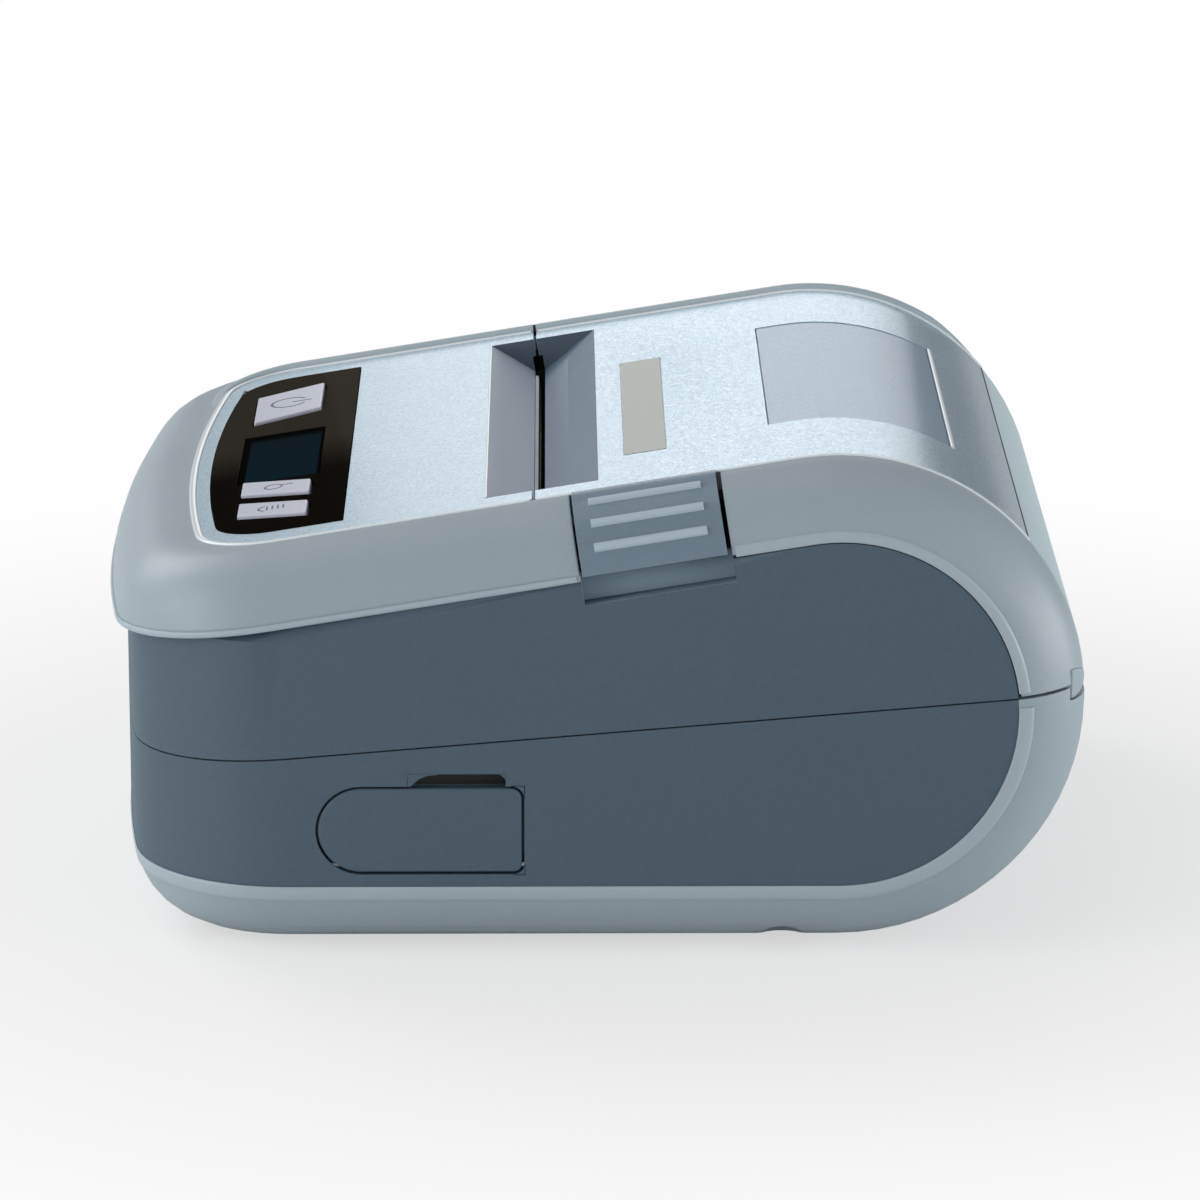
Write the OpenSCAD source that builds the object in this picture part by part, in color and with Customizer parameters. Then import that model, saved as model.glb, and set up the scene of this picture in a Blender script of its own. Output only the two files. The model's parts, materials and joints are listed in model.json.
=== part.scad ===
// Portable thermal printer: sloping-top case, hinged lid over the roll, print mechanism, battery.
// +X points to the round hinge end, -X to the keys, -Y is the side with the latch and sockets.

/* [Case] */
// Overall length of the body
body_l = 123.4; // [118:0.1:132]
// Overall width of the body
body_w = 112; // [110:1:120]
// Radius of the round hinge end, which is half the body's height
rear_r = 30.8; // [30.5:0.1:33]
// Slope of the top, in degrees
top_slope = 9.2; // [8.5:0.1:10]
// Rounding of the long edges, seen from the end
edge_r = 9.5; // [8:0.1:10]
// Corner radius of the plan outline at the front
corner_r = 20; // [16:0.5:24]
// Radius of the slight bow across the front
bow_r = 303; // [250:1:400]
// Wall thickness of the mouldings
wall = 2.4; // [2:0.1:2.6]
// Width of the pale band that frames the side panels
band = 8.8; // [8:0.1:9.2]
// Step from the nose of the trim back to the dark front wall
front_step = 1.8; // [1:0.1:2.4]
// Height of the parting line halfway along the body
part_z = 29.1; // [28:0.1:30]
// Slope of the parting line, in degrees
part_slope = 4.75; // [4:0.05:5]
// Gap between mouldings that move apart
seam = 0.4; // [0.3:0.05:0.5]

/* [Deck] */
// Width of the trim beside the silver panel
trim_w = 10.2; // [9.6:0.1:11]
// Width of the trim in front of the silver panel
nose_trim = 12.3; // [11.5:0.1:13]
// Distance along the top from the crest to the split between panel and lid
split_u = 33.4; // [33:0.1:34]
// Silver margin at each end of the tear groove
groove_end = 4.3; // [3.8:0.1:4.5]
// Depth of the tear groove
groove_d = 4.5; // [4:0.1:5]
// Run of the front wall of the groove
groove_front = 5.3; // [4.5:0.1:6]
// Run of the back wall of the groove
groove_back = 7.5; // [7:0.1:8]
// Width of the paper slot
slot_w = 1.4; // [1.2:0.1:1.6]
// Length of the smooth inlay in the lid, along the slope
inlay_l = 24; // [18:1:26]
// Width of the smooth inlay
inlay_w = 54; // [40:1:60]
// Depth of the inlay's recess
inlay_d = 0.8; // [0.6:0.1:1]
// Length of the blank label
label_l = 50; // [30:1:54]
// Width of the blank label
label_w = 5.5; // [4:0.5:8]

/* [Keypad] */
// Silver margin at each end of the black keypad panel
keypad_end = 4.6; // [3.8:0.1:5.8]
// Distance from the nose of the trim to the panel's front edge
keypad_front = 14.3; // [14:0.1:15]
// Length of the keypad panel along the top
keypad_l = 18.4; // [18:0.1:19]
// Thickness of the keypad panel
keypad_t = 1; // [0.8:0.1:1.2]
// Length of a key along the top
key_l = 9; // [8:0.1:9.6]
// Width of the power key
power_key_w = 14; // [12:0.5:15]
// Width of the two smaller keys
small_key_w = 6.2; // [5:0.1:6.6]
// Skew of the keys, in degrees
key_skew = 20; // [16:1:22]
// Height of a key above the panel
key_rise = 0.5; // [0.4:0.05:0.8]
// Travel of a key
key_travel = 0.5; // [0.3:0.05:0.6]
// Length of the display window along the top
lcd_l = 10.6; // [10:0.1:11]
// Room for the keys at each end of the display window
lcd_end = 28.7; // [28.4:0.1:30]

/* [Print mechanism] */
// Radius of the rubber platen roller
platen_r = 5; // [4.8:0.05:5.1]
// Room between an end of the rubber roller and the paper space's wall
platen_end = 0.7; // [0.5:0.1:0.9]
// Radius of the steel shafts
shaft_r = 2; // [1.8:0.05:2.2]
// Radius of the platen's bushes
bush_r = 3.2; // [3:0.05:3.3]
// Running clearance of shafts in their holes
run_gap = 0.06; // [0.03:0.01:0.1]
// Gear module
gear_m = 0.6; // [0.58:0.01:0.62]
// Thickness of the gears
gear_t = 3; // [2.6:0.1:3.2]
// Radius of the stepper motor
motor_r = 7.5; // [7:0.1:7.6]
// Length of the stepper motor
motor_l = 19; // [14:0.5:22]
// Thickness of the frame's side plates
plate_t = 1.6; // [1.4:0.1:1.8]

/* [Paper roll] */
// Room between the largest paper roll and the outside of the round end
roll_room = 5.8; // [5:0.1:8]

/* [Battery] */
// Room between an end of the battery pack and the outside of the case
pack_end = 21; // [19:0.5:21.5]
// Radius of a battery cell
cell_r = 9.1; // [8.9:0.05:9.2]
// Thickness of the battery door
door_t = 2; // [1.8:0.1:2.2]

/* [Latch and flap] */
// Length of the latch button along the top
latch_l = 18; // [16:0.1:18.4]
// Travel of the latch button
latch_travel = 3.2; // [2.5:0.1:3.2]
// Length of a grip rib on the latch
rib_l = 14; // [10:0.5:15]
// Length of the rubber flap
flap_l = 25.3; // [24:0.1:26]
// Height of the rubber flap
flap_h = 10.8; // [10:0.1:11]
// Thickness of the rubber flap
flap_t = 1.6; // [1.4:0.1:1.8]
// Bore of the power socket
jack_r = 2.75; // [2.5:0.05:3]

/* [Fastenings] */
// Radius of the hinge barrel at the lid's rear edge
barrel_r = 1.8; // [1.7:0.05:2]
// Radius of a hinge pin
pin_r = 0.8; // [0.6:0.05:0.9]
// Radius of a case screw's shank
screw_r = 1.3; // [1.2:0.05:1.4]
// Height that the rubber feet stand proud of the floor
foot_proud = 0.5; // [0.4:0.1:1]
// Radius of a rubber foot
foot_r = 4.5; // [3:0.5:5]

/* [Hidden] */
$fn = 96;
big = 200;
hull_fn = 32;
fit = 0.3;
half_w = body_w / 2;
silver_half = half_w - trim_w;
groove_half = silver_half - groove_end;
keypad_half = silver_half - keypad_end;
lcd_w = 2 * (keypad_half - lcd_end);
bay_half = groove_half - fit;
platen_l = 2 * (bay_half - platen_end);
pack_l = body_w - 2 * pack_end;
pack_w = 4 * cell_r + 2;
nose_x = -body_l / 2;
rear_x = body_l / 2 - rear_r;
front_x = nose_x + front_step;
floor_z = foot_proud;
floor_in = floor_z + wall;
rear_z = floor_z + rear_r;
inner_half = half_w - wall;
under_w = rear_r - wall;
trim_low = rear_r - band;
nose_u = (rear_x - nose_x - edge_r - (rear_r - edge_r) * sin(top_slope)) / cos(top_slope) + edge_r;
hinge_x = body_l / 2 - barrel_r - 0.2;
hinge_z = part_z + hinge_x * tan(part_slope) + seam / 2;
rise = [cos(top_slope), sin(top_slope)];
hinge_u = (hinge_x - rear_x) * rise[0] + (hinge_z - rear_z) * rise[1];
hinge_w = (hinge_z - rear_z) * rise[0] - (hinge_x - rear_x) * rise[1];
slot_front = -split_u - slot_w / 2;
slot_back = -split_u + slot_w / 2;
platen_u = -split_u + platen_r + 0.1;
platen_w = under_w - 8.8;
lift = [platen_w - hinge_w, hinge_u - platen_u] / norm([platen_w - hinge_w, hinge_u - platen_u]);
platen_teeth = 18;
idler_teeth = 24;
pinion_teeth = 12;
backlash = 0.1;
idler_gap = gear_m * (platen_teeth + idler_teeth) / 2 + backlash;
pinion_gap = gear_m * (pinion_teeth + idler_teeth) / 2 + backlash;
pinion_turn = 172;
idler = [platen_u, platen_w] - idler_gap * lift;
pinion = idler + pinion_gap * [cos(pinion_turn), sin(pinion_turn)];
mesh_turn = atan2(lift[1], lift[0]);
mesh_shift = (pinion_turn - mesh_turn + 360) % (360 / idler_teeth);
head_u = platen_u - platen_r - fit;
frame_y = platen_l / 2 + 3.4;
gear_y = frame_y + plate_t + 0.7;
arm_y = platen_l / 2 + 0.8;
latch_u0 = -28.6;
latch_u1 = latch_u0 + latch_l;
latch_gap = 0.6;
pod_x = rear_x - 15.4;
pack_x = nose_x + 20.2;
pack_z = floor_in + 0.2;
pack_h = 2 * cell_r + 1.4;
board_z = pack_z + pack_h + 0.4;
board_t = 1.6;
key_u = -nose_u + keypad_front + keypad_l / 2;
power_key_y = keypad_half - 16.2;
mode_key_y = 20.8 - keypad_half;
feed_key_y = 10.1 - keypad_half;
lcd_y = -2.4;
flap_x0 = nose_x + 27.9;
flap_z0 = 11.2;
socket_y = -half_w + wall + 0.2;
jack_x = flap_x0 + 18.3;
jack_z = flap_z0 + 5.8;
stem_u = latch_u0 + 11.6;
stem_y = 7.4 - half_w;
barrel_end = half_w - 3.8;
lever_at = [latch_u0 + 6.2, platen_w - 5.6];
beam_u = head_u - 6.6;
inlay_t0 = -3.4;
label_t0 = -21.9;
label_y = -6;
silver_stop = 40;
silver_end = (90 + top_slope - silver_stop) * rear_r * PI / 180;
case_posts = [[nose_x + 14.2, half_w - 12, 7.8], [rear_x - 6.9, half_w - 6, 4.5]];
board_posts = [[nose_x + 14.7, half_w - 26], [rear_x - 31.4, half_w - 9]];
post_r = 3.4;
head_seat = 6;
feet = [[nose_x + 23.7, half_w - 16.5], [rear_x - 6.9, half_w - 18]];
knuckle_y = half_w - 26;
knuckle_l = 6;
door_x0 = pack_x - 2.8;
door_x1 = pack_x + pack_w + 1.6;
door_half = pack_l / 2 - 1;
groove_w = rear_r - groove_d;
board_w = under_w - 3;
keypad_posts = [[key_u - 5.5, keypad_half - 2.4], [key_u + 5.5, keypad_half - 2.4]];
head_half = platen_l / 2 + 0.5;
ear_u = slot_front - 12.6;
case_grey = [0.36, 0.42, 0.48];
trim_grey = [0.62, 0.67, 0.70];
silver = [0.72, 0.77, 0.80];
steel = [0.70, 0.71, 0.73];
board_green = [0.05, 0.32, 0.18];

// Frame of the sloping top: X runs up the slope to the crest, Z stands square to the top
module at_deck() {
    translate([rear_x, 0, rear_z]) rotate([0, -top_slope, 0]) children();
}

// Both sides of the middle plane
module both_sides() {
    children();
    mirror([0, 1, 0]) children();
}

// A block along X, Y and Z given by its two far corners
module block(low, high) {
    translate(low) cube(high - low);
}

// Shaft or bore along Y between two places
module rod(u, w, r, y0, y1) {
    translate([u, y1, w]) rotate([90, 0, 0]) cylinder(r = r, h = y1 - y0);
}

// Half section of a slab whose lower edge is rounded
module edge_section(r, e, h, sides) {
    square([r - e, h]);
    translate([0, e]) square([r, h - e]);
    translate([r - e, e]) intersection() {
        circle(e, $fn = sides);
        translate([0, -e]) square(e);
    }
}

// Front end of a slab with a bowed front, round corners and a rounded lower edge
module front_edge(front, half, corner, bow, e, h) {
    centre_y = half - corner;
    centre_x = front + bow - sqrt(pow(bow - corner, 2) - pow(centre_y, 2));
    half_angle = asin(centre_y / (bow - corner));
    both_sides() translate([centre_x, centre_y, 0])
        rotate_extrude($fn = 48) edge_section(corner, e, h, hull_fn);
    translate([front + bow, 0, 0]) rotate([0, 0, 180 - half_angle])
        rotate_extrude(angle = 2 * half_angle, $fn = 300) difference() {
            edge_section(bow, e, h, hull_fn);
            square([bow - corner, h]);
        }
}

// Round hinge end, a drum across the case with rounded edges, taken in by inset and turned about itself
module drum(inset, turn) {
    translate([rear_x, 0, rear_z]) rotate([90, -turn, 0]) rotate_extrude($fn = 72) {
        translate([0, -half_w + inset])
            edge_section(rear_r - inset, edge_r - inset, half_w - inset, hull_fn);
        mirror([0, 1]) translate([0, -half_w + inset])
            edge_section(rear_r - inset, edge_r - inset, half_w - inset, hull_fn);
    }
}

// Body below the top, taken in by inset
module base_hull(inset) {
    hull() {
        translate([0, 0, floor_z + inset]) front_edge(front_x + inset, half_w - inset,
            corner_r - inset, bow_r - inset, edge_r - inset, rear_r + edge_r);
        drum(inset, 0);
    }
}

// Body under the sloping top with its rounded rim, taken in by inset
module top_hull(inset) {
    hull() {
        at_deck() translate([0, 0, rear_r - inset]) mirror([0, 0, 1])
            front_edge(-nose_u + inset, half_w - inset,
                corner_r - inset, bow_r - inset, edge_r - inset, 2 * edge_r);
        drum(inset, top_slope);
    }
}

// Everything below the parting line, lowered by drop
module below_parting(drop) {
    translate([0, 0, part_z - drop]) rotate([0, -part_slope, 0]) block([-big, -big, -big], [big, big, 0]);
}

// Everything above the parting line
module above_parting() {
    translate([0, 0, part_z]) rotate([0, -part_slope, 0]) block([-big, -big, 0], [big, big, big]);
}

// Outline of the dark side panels, seen from the side and grown by grow, right across the case
module side_core(grow) {
    top = trim_low + grow;
    back = [rear_x, rear_r];
    turns = [for (i = [0:48]) -90 + i * (180 + top_slope) / 48];
    translate([0, 0, floor_z]) rotate([90, 0, 0]) linear_extrude(big, center = true) polygon(concat(
        [for (a = turns) back + top * [cos(a), sin(a)]],
        [back - big * rise + top * [-sin(top_slope), cos(top_slope)], [-big, band - grow]]));
}

// Silver area of the top in plan, seen from above, taken in by inset from the trim
module silver_plan(inset, u1, h) {
    round_plan(-nose_u + nose_trim + inset, u1, silver_half - inset, corner_r - trim_w, h);
}

// Plan outline with a bowed front and round corners
module round_plan(front, back, half, corner, h) {
    centre_y = half - corner;
    bow = bow_r - corner_r + corner;
    centre_x = front + bow - sqrt(pow(bow - corner, 2) - pow(centre_y, 2));
    half_angle = asin(centre_y / (bow - corner));
    both_sides() translate([centre_x, centre_y, 0]) rotate([0, 0, 90])
        rotate_extrude(angle = 90 - half_angle) square([corner, h]);
    block([centre_x, -half, 0], [back, half, h]);
    translate([front + bow, 0, 0]) rotate([0, 0, 180 - half_angle])
        rotate_extrude(angle = 2 * half_angle) translate([bow - 1.6 * corner, 0])
            square([1.6 * corner, h]);
}

// Point of the side outline: t runs back from the crest's start, d is the depth below the surface
function outline_point(t, d) =
    t < 0 ? [rear_x + t * rise[0] - (rear_r - d) * rise[1], rear_z + t * rise[1] + (rear_r - d) * rise[0]]
    : let (a = 90 + top_slope - t / rear_r * 180 / PI)
        [rear_x + (rear_r - d) * cos(a), rear_z + (rear_r - d) * sin(a)];

// Curved plate that follows the top from t0 to t1, between the depths d0 and d1
module top_band(t0, t1, d0, d1, y0, y1) {
    steps = max(1, ceil(t1 / 1.6));
    run = t1 <= 0 ? [t0, t1] :
        concat(t0 < 0 ? [t0] : [], [for (i = [0:steps]) max(t0, 0) + (t1 - max(t0, 0)) * i / steps]);
    translate([0, y1, 0]) rotate([90, 0, 0]) linear_extrude(y1 - y0) polygon(concat(
        [for (t = run) outline_point(t, d0)],
        [for (i = [len(run) - 1:-1:0]) outline_point(run[i], d1)]));
}

// Plate across Y cut from an outline in the frame of the top
module plate(points, y0, y1) {
    translate([0, y1, 0]) rotate([90, 0, 0]) linear_extrude(y1 - y0) polygon(points);
}

// Screw along Z with its head down
module screw(x, y, z, shank, head, length) {
    translate([x, y, z]) cylinder(r = shank, h = length);
    translate([x, y, z - head * 0.6]) cylinder(r = head, h = head * 0.6);
}

// Vertical post with a hole
module post(at, z0, z1, r, hole) {
    difference() {
        translate([at[0], at[1], z0]) cylinder(r = r, h = z1 - z0);
        translate([at[0], at[1], z0 - 1]) cylinder(r = hole, h = z1 - z0 + 2);
    }
}

// Height of the parting line at a place along X
function part_at(x) = part_z + x * tan(part_slope);

// Wall of the lower body, hollow inside
module lower_wall() {
    difference() {
        intersection() {
            base_hull(0);
            below_parting(seam / 2);
        }
        base_hull(wall);
    }
}

// Screw seats that open under the floor
module screw_seats() {
    for (p = case_posts) both_sides() translate([p[0], p[1], -1]) {
        cylinder(r = 2.9, h = head_seat + 1);
        cylinder(r = screw_r + 0.2, h = 40);
    }
}

// Opening in the floor for the battery
module door_hole() {
    block([door_x0 - 1.3, -door_half - fit, -1], [door_x1 + fit, door_half + fit, floor_in + 1]);
    rod(door_x0, floor_z + door_t / 2 + 0.2, 0.7 + run_gap, -door_half - 2, door_half + 2);
}

module bottom_shell() {
    color(trim_grey) difference() {
        union() {
            difference() {
                lower_wall();
                side_core(0);
                rod(hinge_x, hinge_z, barrel_r + fit, -barrel_end - fit, barrel_end + fit);
                block([hinge_x, -barrel_end - fit, hinge_z - barrel_r - fit], [big, barrel_end + fit, big]);
            }
            for (p = case_posts) both_sides() {
                post(p, floor_in + 1.1, part_at(p[0]) - seam, post_r, screw_r + 0.2);
                intersection() {
                    post(p, floor_in - 0.1, floor_in + 1.2, post_r, screw_r + 0.2);
                    block([-big, -p[1], 0], [big, p[1], big]);
                }
            }
            for (p = board_posts) both_sides() post(p, floor_in - 0.1, board_z, 2.4, 0.8);
            both_sides() {
                rod(hinge_x, hinge_z, barrel_r, knuckle_y, knuckle_y + knuckle_l);
                block([hinge_x - 1.4, knuckle_y, hinge_z - 6],
                    [hinge_x + 0.3, knuckle_y + knuckle_l, hinge_z]);
            }
            for (x = [1.8, 21.3]) translate([flap_x0 + x, socket_y, 0])
                block([0, 11.9, floor_in - 0.1], [2.5, 14.4, flap_z0 - 1.2]);
        }
        screw_seats();
        door_hole();
        both_sides() rod(hinge_x, hinge_z, pin_r, knuckle_y - 10, knuckle_y + 10);
        for (f = feet) both_sides() translate([f[0], f[1], -1]) cylinder(r = foot_r + 0.1, h = floor_z + 1.8);
    }
}

module lower_case() {
    color(case_grey) difference() {
        intersection() {
            lower_wall();
            side_core(0);
        }
        flap_recess();
    }
}

// Recess and window in the near side for the flap, with the holes for its trunnions
module flap_recess() {
    y = -half_w;
    r = flap_h / 2 + fit;
    intersection() {
        union() {
            rod(flap_x0 + flap_h / 2, flap_z0 + flap_h / 2, r, y - 1, y + flap_t + 0.1);
            block([flap_x0 + flap_h / 2, y - 1, flap_z0 - fit],
                [flap_x0 + flap_l + fit, y + flap_t + 0.1, flap_z0 + flap_h + fit]);
        }
        block([-big, -big, flap_z0 - fit], [big, big, flap_z0 + flap_h + fit]);
    }
    block([flap_x0 + 2.5, y - 1, flap_z0 + 1.8],
        [flap_x0 + flap_l - 2, y + wall + 1, flap_z0 + flap_h - 0.8]);
    block([flap_x0 + 11.2, y - 1, flap_z0 + flap_h], [flap_x0 + flap_l - 2, y + 1.2, flap_z0 + flap_h + 1.9]);
    rod_x(flap_x0 + 0.3, flap_x0 + flap_l + 1.5, y + flap_t / 2, flap_z0 + flap_t / 2, 0.4 + run_gap);
}

// Rod along X between two places
module rod_x(x0, x1, y, z, r) {
    translate([x0, y, z]) rotate([0, 90, 0]) cylinder(r = r, h = x1 - x0);
}

module port_flap() {
    y = -half_w;
    hinge_y = y + flap_t / 2;
    axis_z = flap_z0 + flap_t / 2;
    color(case_grey) {
        difference() {
            rod(flap_x0 + flap_h / 2, flap_z0 + flap_h / 2, flap_h / 2, y, y + flap_t);
            block([-big, -big, 0], [big, big, axis_z]);
            block([-big, -big, 0], [flap_x0 + 4.4, big, axis_z + 1]);
        }
        block([flap_x0 + flap_h / 2, y, axis_z], [flap_x0 + flap_l, y + flap_t, flap_z0 + flap_h]);
        rod_x(flap_x0 + flap_h / 2, flap_x0 + flap_l, hinge_y, axis_z, flap_t / 2);
        rod_x(flap_x0 + 0.5, flap_x0 + flap_l + 1.3, hinge_y, axis_z, 0.4);
    }
}

// Side pod beside the paper roll: end wall, ledge under the lid's edge and front wall
module pod() {
    intersection() {
        union() {
            block([pod_x, bay_half + 0.1, 0], [big, bay_half + 1.9, big]);
            block([pod_x, bay_half + 0.1, 0], [pod_x + 1.6, inner_half + 0.1, big]);
            difference() {
                block([pod_x, bay_half + 0.1, 0], [big, inner_half + 0.1, big]);
                side_core(-1.8);
            }
        }
        side_core(0);
        above_parting();
    }
}

module upper_case() {
    y = -inner_half;
    color(case_grey) difference() {
        union() {
            difference() {
                intersection() {
                    base_hull(0);
                    side_core(0);
                }
                below_parting(0);
                base_hull(wall);
            }
            both_sides() pod();
            for (p = case_posts) both_sides()
                translate([p[0], p[1], part_at(p[0]) - seam]) {
                    cylinder(r = post_r, h = 11);
                    translate([-0.8, 0, seam + 0.2]) cube([1.6, p[2], 10]);
                }
            at_deck() {
                block([latch_u0 - 1.4, y - 0.2, trim_low - 5], [latch_u1 + 2, y + 2.9, trim_low]);
                block([stem_u - 3, y - 0.2, trim_low - 5], [stem_u + 3, stem_y + 2.6, trim_low - 3.2]);
            }
        }
        at_deck() {
            block([latch_u0 - fit, -big, trim_low + 0.2 - latch_travel],
                [latch_u1 + latch_gap, y + 1.5, big]);
            block([stem_u - 0.9, stem_y - 1.6, 0], [stem_u + 0.9, stem_y + 1.6, trim_low - 2]);
        }
        for (p = case_posts) both_sides()
            translate([p[0], p[1], part_at(p[0]) - 1]) cylinder(r = screw_r, h = 9.5);
    }
}

// Quarter round of the trim with a radius larger or smaller than its own, drawn across the top
module trim_round(r0, r1, u0, u1, low) {
    translate([u0, 0, 0]) rotate([90, 0, 90]) linear_extrude(u1 - u0) intersection() {
        translate([-half_w + edge_r, rear_r - edge_r]) difference() {
            circle(r1);
            circle(r0);
        }
        translate([-half_w - 5, low]) square([edge_r + 5, rear_r + 5 - low]);
    }
}

module latch_button() {
    color(trim_grey) at_deck() {
        trim_round(edge_r - wall, edge_r + 0.3, latch_u0, latch_u1, trim_low + 0.7);
        for (a = [28, 47, 68]) translate([latch_u0 + (latch_l - rib_l) / 2,
            -half_w + edge_r - (edge_r + 0.2) * cos(a), rear_r - edge_r + (edge_r + 0.2) * sin(a)])
            rotate([0, 90, 0]) cylinder(r = 0.6, h = rib_l);
        block([stem_u - 0.6, stem_y - 1.3, trim_low - 6], [stem_u + 0.6, stem_y + 1.3, rear_r - 2.2]);
        block([stem_u - 0.6, stem_y - 1.3, trim_low - 6], [stem_u + 0.6, stem_y + 2.5, trim_low - 5.2]);
    }
}

module latch_spring() {
    color(steel) at_deck() translate([stem_u, stem_y, trim_low - 3.1]) difference() {
        cylinder(r = 2, h = band - 0.6);
        translate([0, 0, -1]) cylinder(r = 1.5, h = 11);
    }
}

module release_lever() {
    y0 = -frame_y - plate_t - 3;
    y1 = -frame_y - plate_t - 0.4;
    color(steel) at_deck() difference() {
        union() {
            plate([for (p = [[-6.6, -1.4], [6.6, -0.8], [6.6, 1.4], [2, 1.6], [-6.6, -0.4]])
                lever_at + p], y0, y1);
            rod(lever_at[0], lever_at[1], 2.3, y0, y1);
        }
        rod(lever_at[0], lever_at[1], 1.2 + run_gap, y0 - 1, y1 + 1);
    }
}

module front_trim() {
    color(trim_grey) difference() {
        top_hull(0);
        top_hull(wall);
        at_deck() {
            block([-big, -big, -big], [big, big, trim_low]);
            block([-split_u - seam / 2, -silver_half, 0], [big, big, big]);
            block([latch_u0 - fit, -big, 0], [big, -silver_half + 1, big]);
            block([-split_u - seam / 2, -silver_half - 0.4, 0], [big, 0, big]);
            translate([0, 0, trim_low - 1]) silver_plan(0, 0, band + 2);
        }
    }
}

// Skewed key outline, taken in or out by grow, from w0 to w1
module key_block(y, width, lean, grow, w0, w1) {
    l = key_l / 2 + grow;
    w = width / 2 + grow;
    s = lean * tan(key_skew) * l;
    translate([key_u, y, w0]) linear_extrude(w1 - w0)
        polygon([[-l, -w - s], [l, -w + s], [l, w + s], [-l, w - s]]);
}

module all_keys(grow, w0, w1) {
    key_block(power_key_y, power_key_w, 1, grow, w0, w1);
    key_block(mode_key_y, small_key_w, -1, grow, w0, w1);
    key_block(feed_key_y, small_key_w, -1, grow, w0, w1);
}

module lcd_block(grow, w0, w1) {
    block([key_u - lcd_l / 2 - grow, lcd_y - lcd_w / 2 - grow, w0],
        [key_u + lcd_l / 2 + grow, lcd_y + lcd_w / 2 + grow, w1]);
}

module keypad_plan(grow, h) {
    round_plan(-nose_u + keypad_front - grow, -nose_u + keypad_front + keypad_l + grow,
        keypad_half + grow, 7.5 + grow, h);
}

module front_panel() {
    color(silver) at_deck() difference() {
        union() {
            difference() {
                translate([0, 0, under_w]) silver_plan(0.1, -split_u - seam / 2, wall);
                block([slot_front, -groove_half, 0], [big, groove_half, big]);
            }
            plate([[slot_front - groove_front - 2.2, rear_r], [slot_front - 1.6, groove_w - 1.4],
                [slot_front, groove_w - 1.4], [slot_front, rear_r]], -groove_half - 1.6, groove_half + 1.6);
            for (p = keypad_posts) both_sides() translate([p[0], p[1], board_w]) cylinder(r = 1.5, h = 3.2);
            both_sides() translate([ear_u, frame_y - 4, under_w - 0.3]) cylinder(r = 2.2, h = 1);
        }
        translate([0, 0, rear_r - keypad_t - 0.05]) keypad_plan(0.1, 5);
        all_keys(0.3, under_w - 1, rear_r);
        block([key_u - lcd_l / 2 - 1.3, lcd_y - lcd_w / 2, under_w - 1],
            [key_u + lcd_l / 2 + 1.3, lcd_y + lcd_w / 2, rear_r]);
        plate([[slot_front - groove_front, rear_r + 0.01], [slot_front, groove_w], [slot_front + 1, groove_w],
            [slot_front + 1, rear_r + 0.01]], -groove_half, groove_half);
        both_sides() translate([ear_u, frame_y - 4, 0]) cylinder(r = 0.9, h = rear_r - 0.8);
    }
}

module keypad_bezel() {
    color([0.06, 0.055, 0.05]) at_deck() difference() {
        translate([0, 0, rear_r - keypad_t]) keypad_plan(0, keypad_t + 0.1);
        all_keys(0.25, 0, big);
        lcd_block(0.1, 0, big);
    }
}

module key(y, width, lean) {
    color([0.80, 0.80, 0.84]) at_deck() {
        key_block(y, width, lean, 0, under_w - 0.8, rear_r + key_rise);
        key_block(y, width, lean, 0.7, under_w - 0.8, under_w - 0.2);
    }
}

module power_key() key(power_key_y, power_key_w, 1);
module mode_key() key(mode_key_y, small_key_w, -1);
module feed_key() key(feed_key_y, small_key_w, -1);

module lcd_lens() {
    color([0.05, 0.16, 0.20]) at_deck() lcd_block(0, rear_r - 1, rear_r);
}

module lcd_module() {
    color([0.3, 0.35, 0.3]) at_deck()
        block([key_u - lcd_l / 2 - 1, lcd_y - lcd_w / 2 + 0.6, board_w],
        [key_u + lcd_l / 2 + 1, lcd_y + lcd_w / 2 - 0.6, rear_r - 1.1]);
}

module keypad_board() {
    color(board_green) at_deck() difference() {
        block([key_u - 8, 0.6 - keypad_half, board_w - 1.2], [key_u + 8, keypad_half - 0.6, board_w]);
        for (p = keypad_posts) both_sides() translate([p[0], p[1], 0]) cylinder(r = 0.8, h = big);
    }
}

module push_switches() {
    color([0.1, 0.1, 0.1]) at_deck() for (y = [power_key_y, mode_key_y, feed_key_y])
        block([key_u - 2.6, y - 2.6, board_w], [key_u + 2.6, y + 2.6, under_w - 0.8 - key_travel - 0.1]);
}

module tear_bar() {
    pitch = 1.6;
    n = floor(2 * groove_half / pitch) - 1;
    color(steel) at_deck() translate([slot_front + 0.05, 0, 0]) rotate([90, 0, 90]) linear_extrude(0.4) {
        translate([-n * pitch / 2, groove_w - 2]) square([n * pitch, 1.2]);
        for (i = [0:n - 1]) translate([(i - n / 2) * pitch, groove_w - 0.81])
            polygon([[0, 0], [pitch, 0], [pitch / 2, 0.7]]);
    }
}

// Half of a tooth space, a tooth and the next half space, in pitches round the gear and modules outwards
tooth = [[-0.30, -1.15], [-0.21, 0], [-0.09, 0.85], [0.09, 0.85], [0.21, 0], [0.30, -1.15]];

// Spur gear outline with the middle of one tooth at turn degrees
function gear_points(teeth, turn) = let (r = gear_m * teeth / 2, p = 360 / teeth)
    [for (i = [0:teeth - 1], k = tooth)
        let (a = turn + (i + k[0]) * p, q = r + k[1] * gear_m) [q * cos(a), q * sin(a)]];

module gear(at, teeth, turn, bore) {
    difference() {
        translate([at[0], gear_y + gear_t, at[1]]) rotate([90, 0, 0]) linear_extrude(gear_t)
            polygon(gear_points(teeth, turn));
        rod(at[0], at[1], bore, gear_y - 1, gear_y + gear_t + 1);
    }
}

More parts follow.
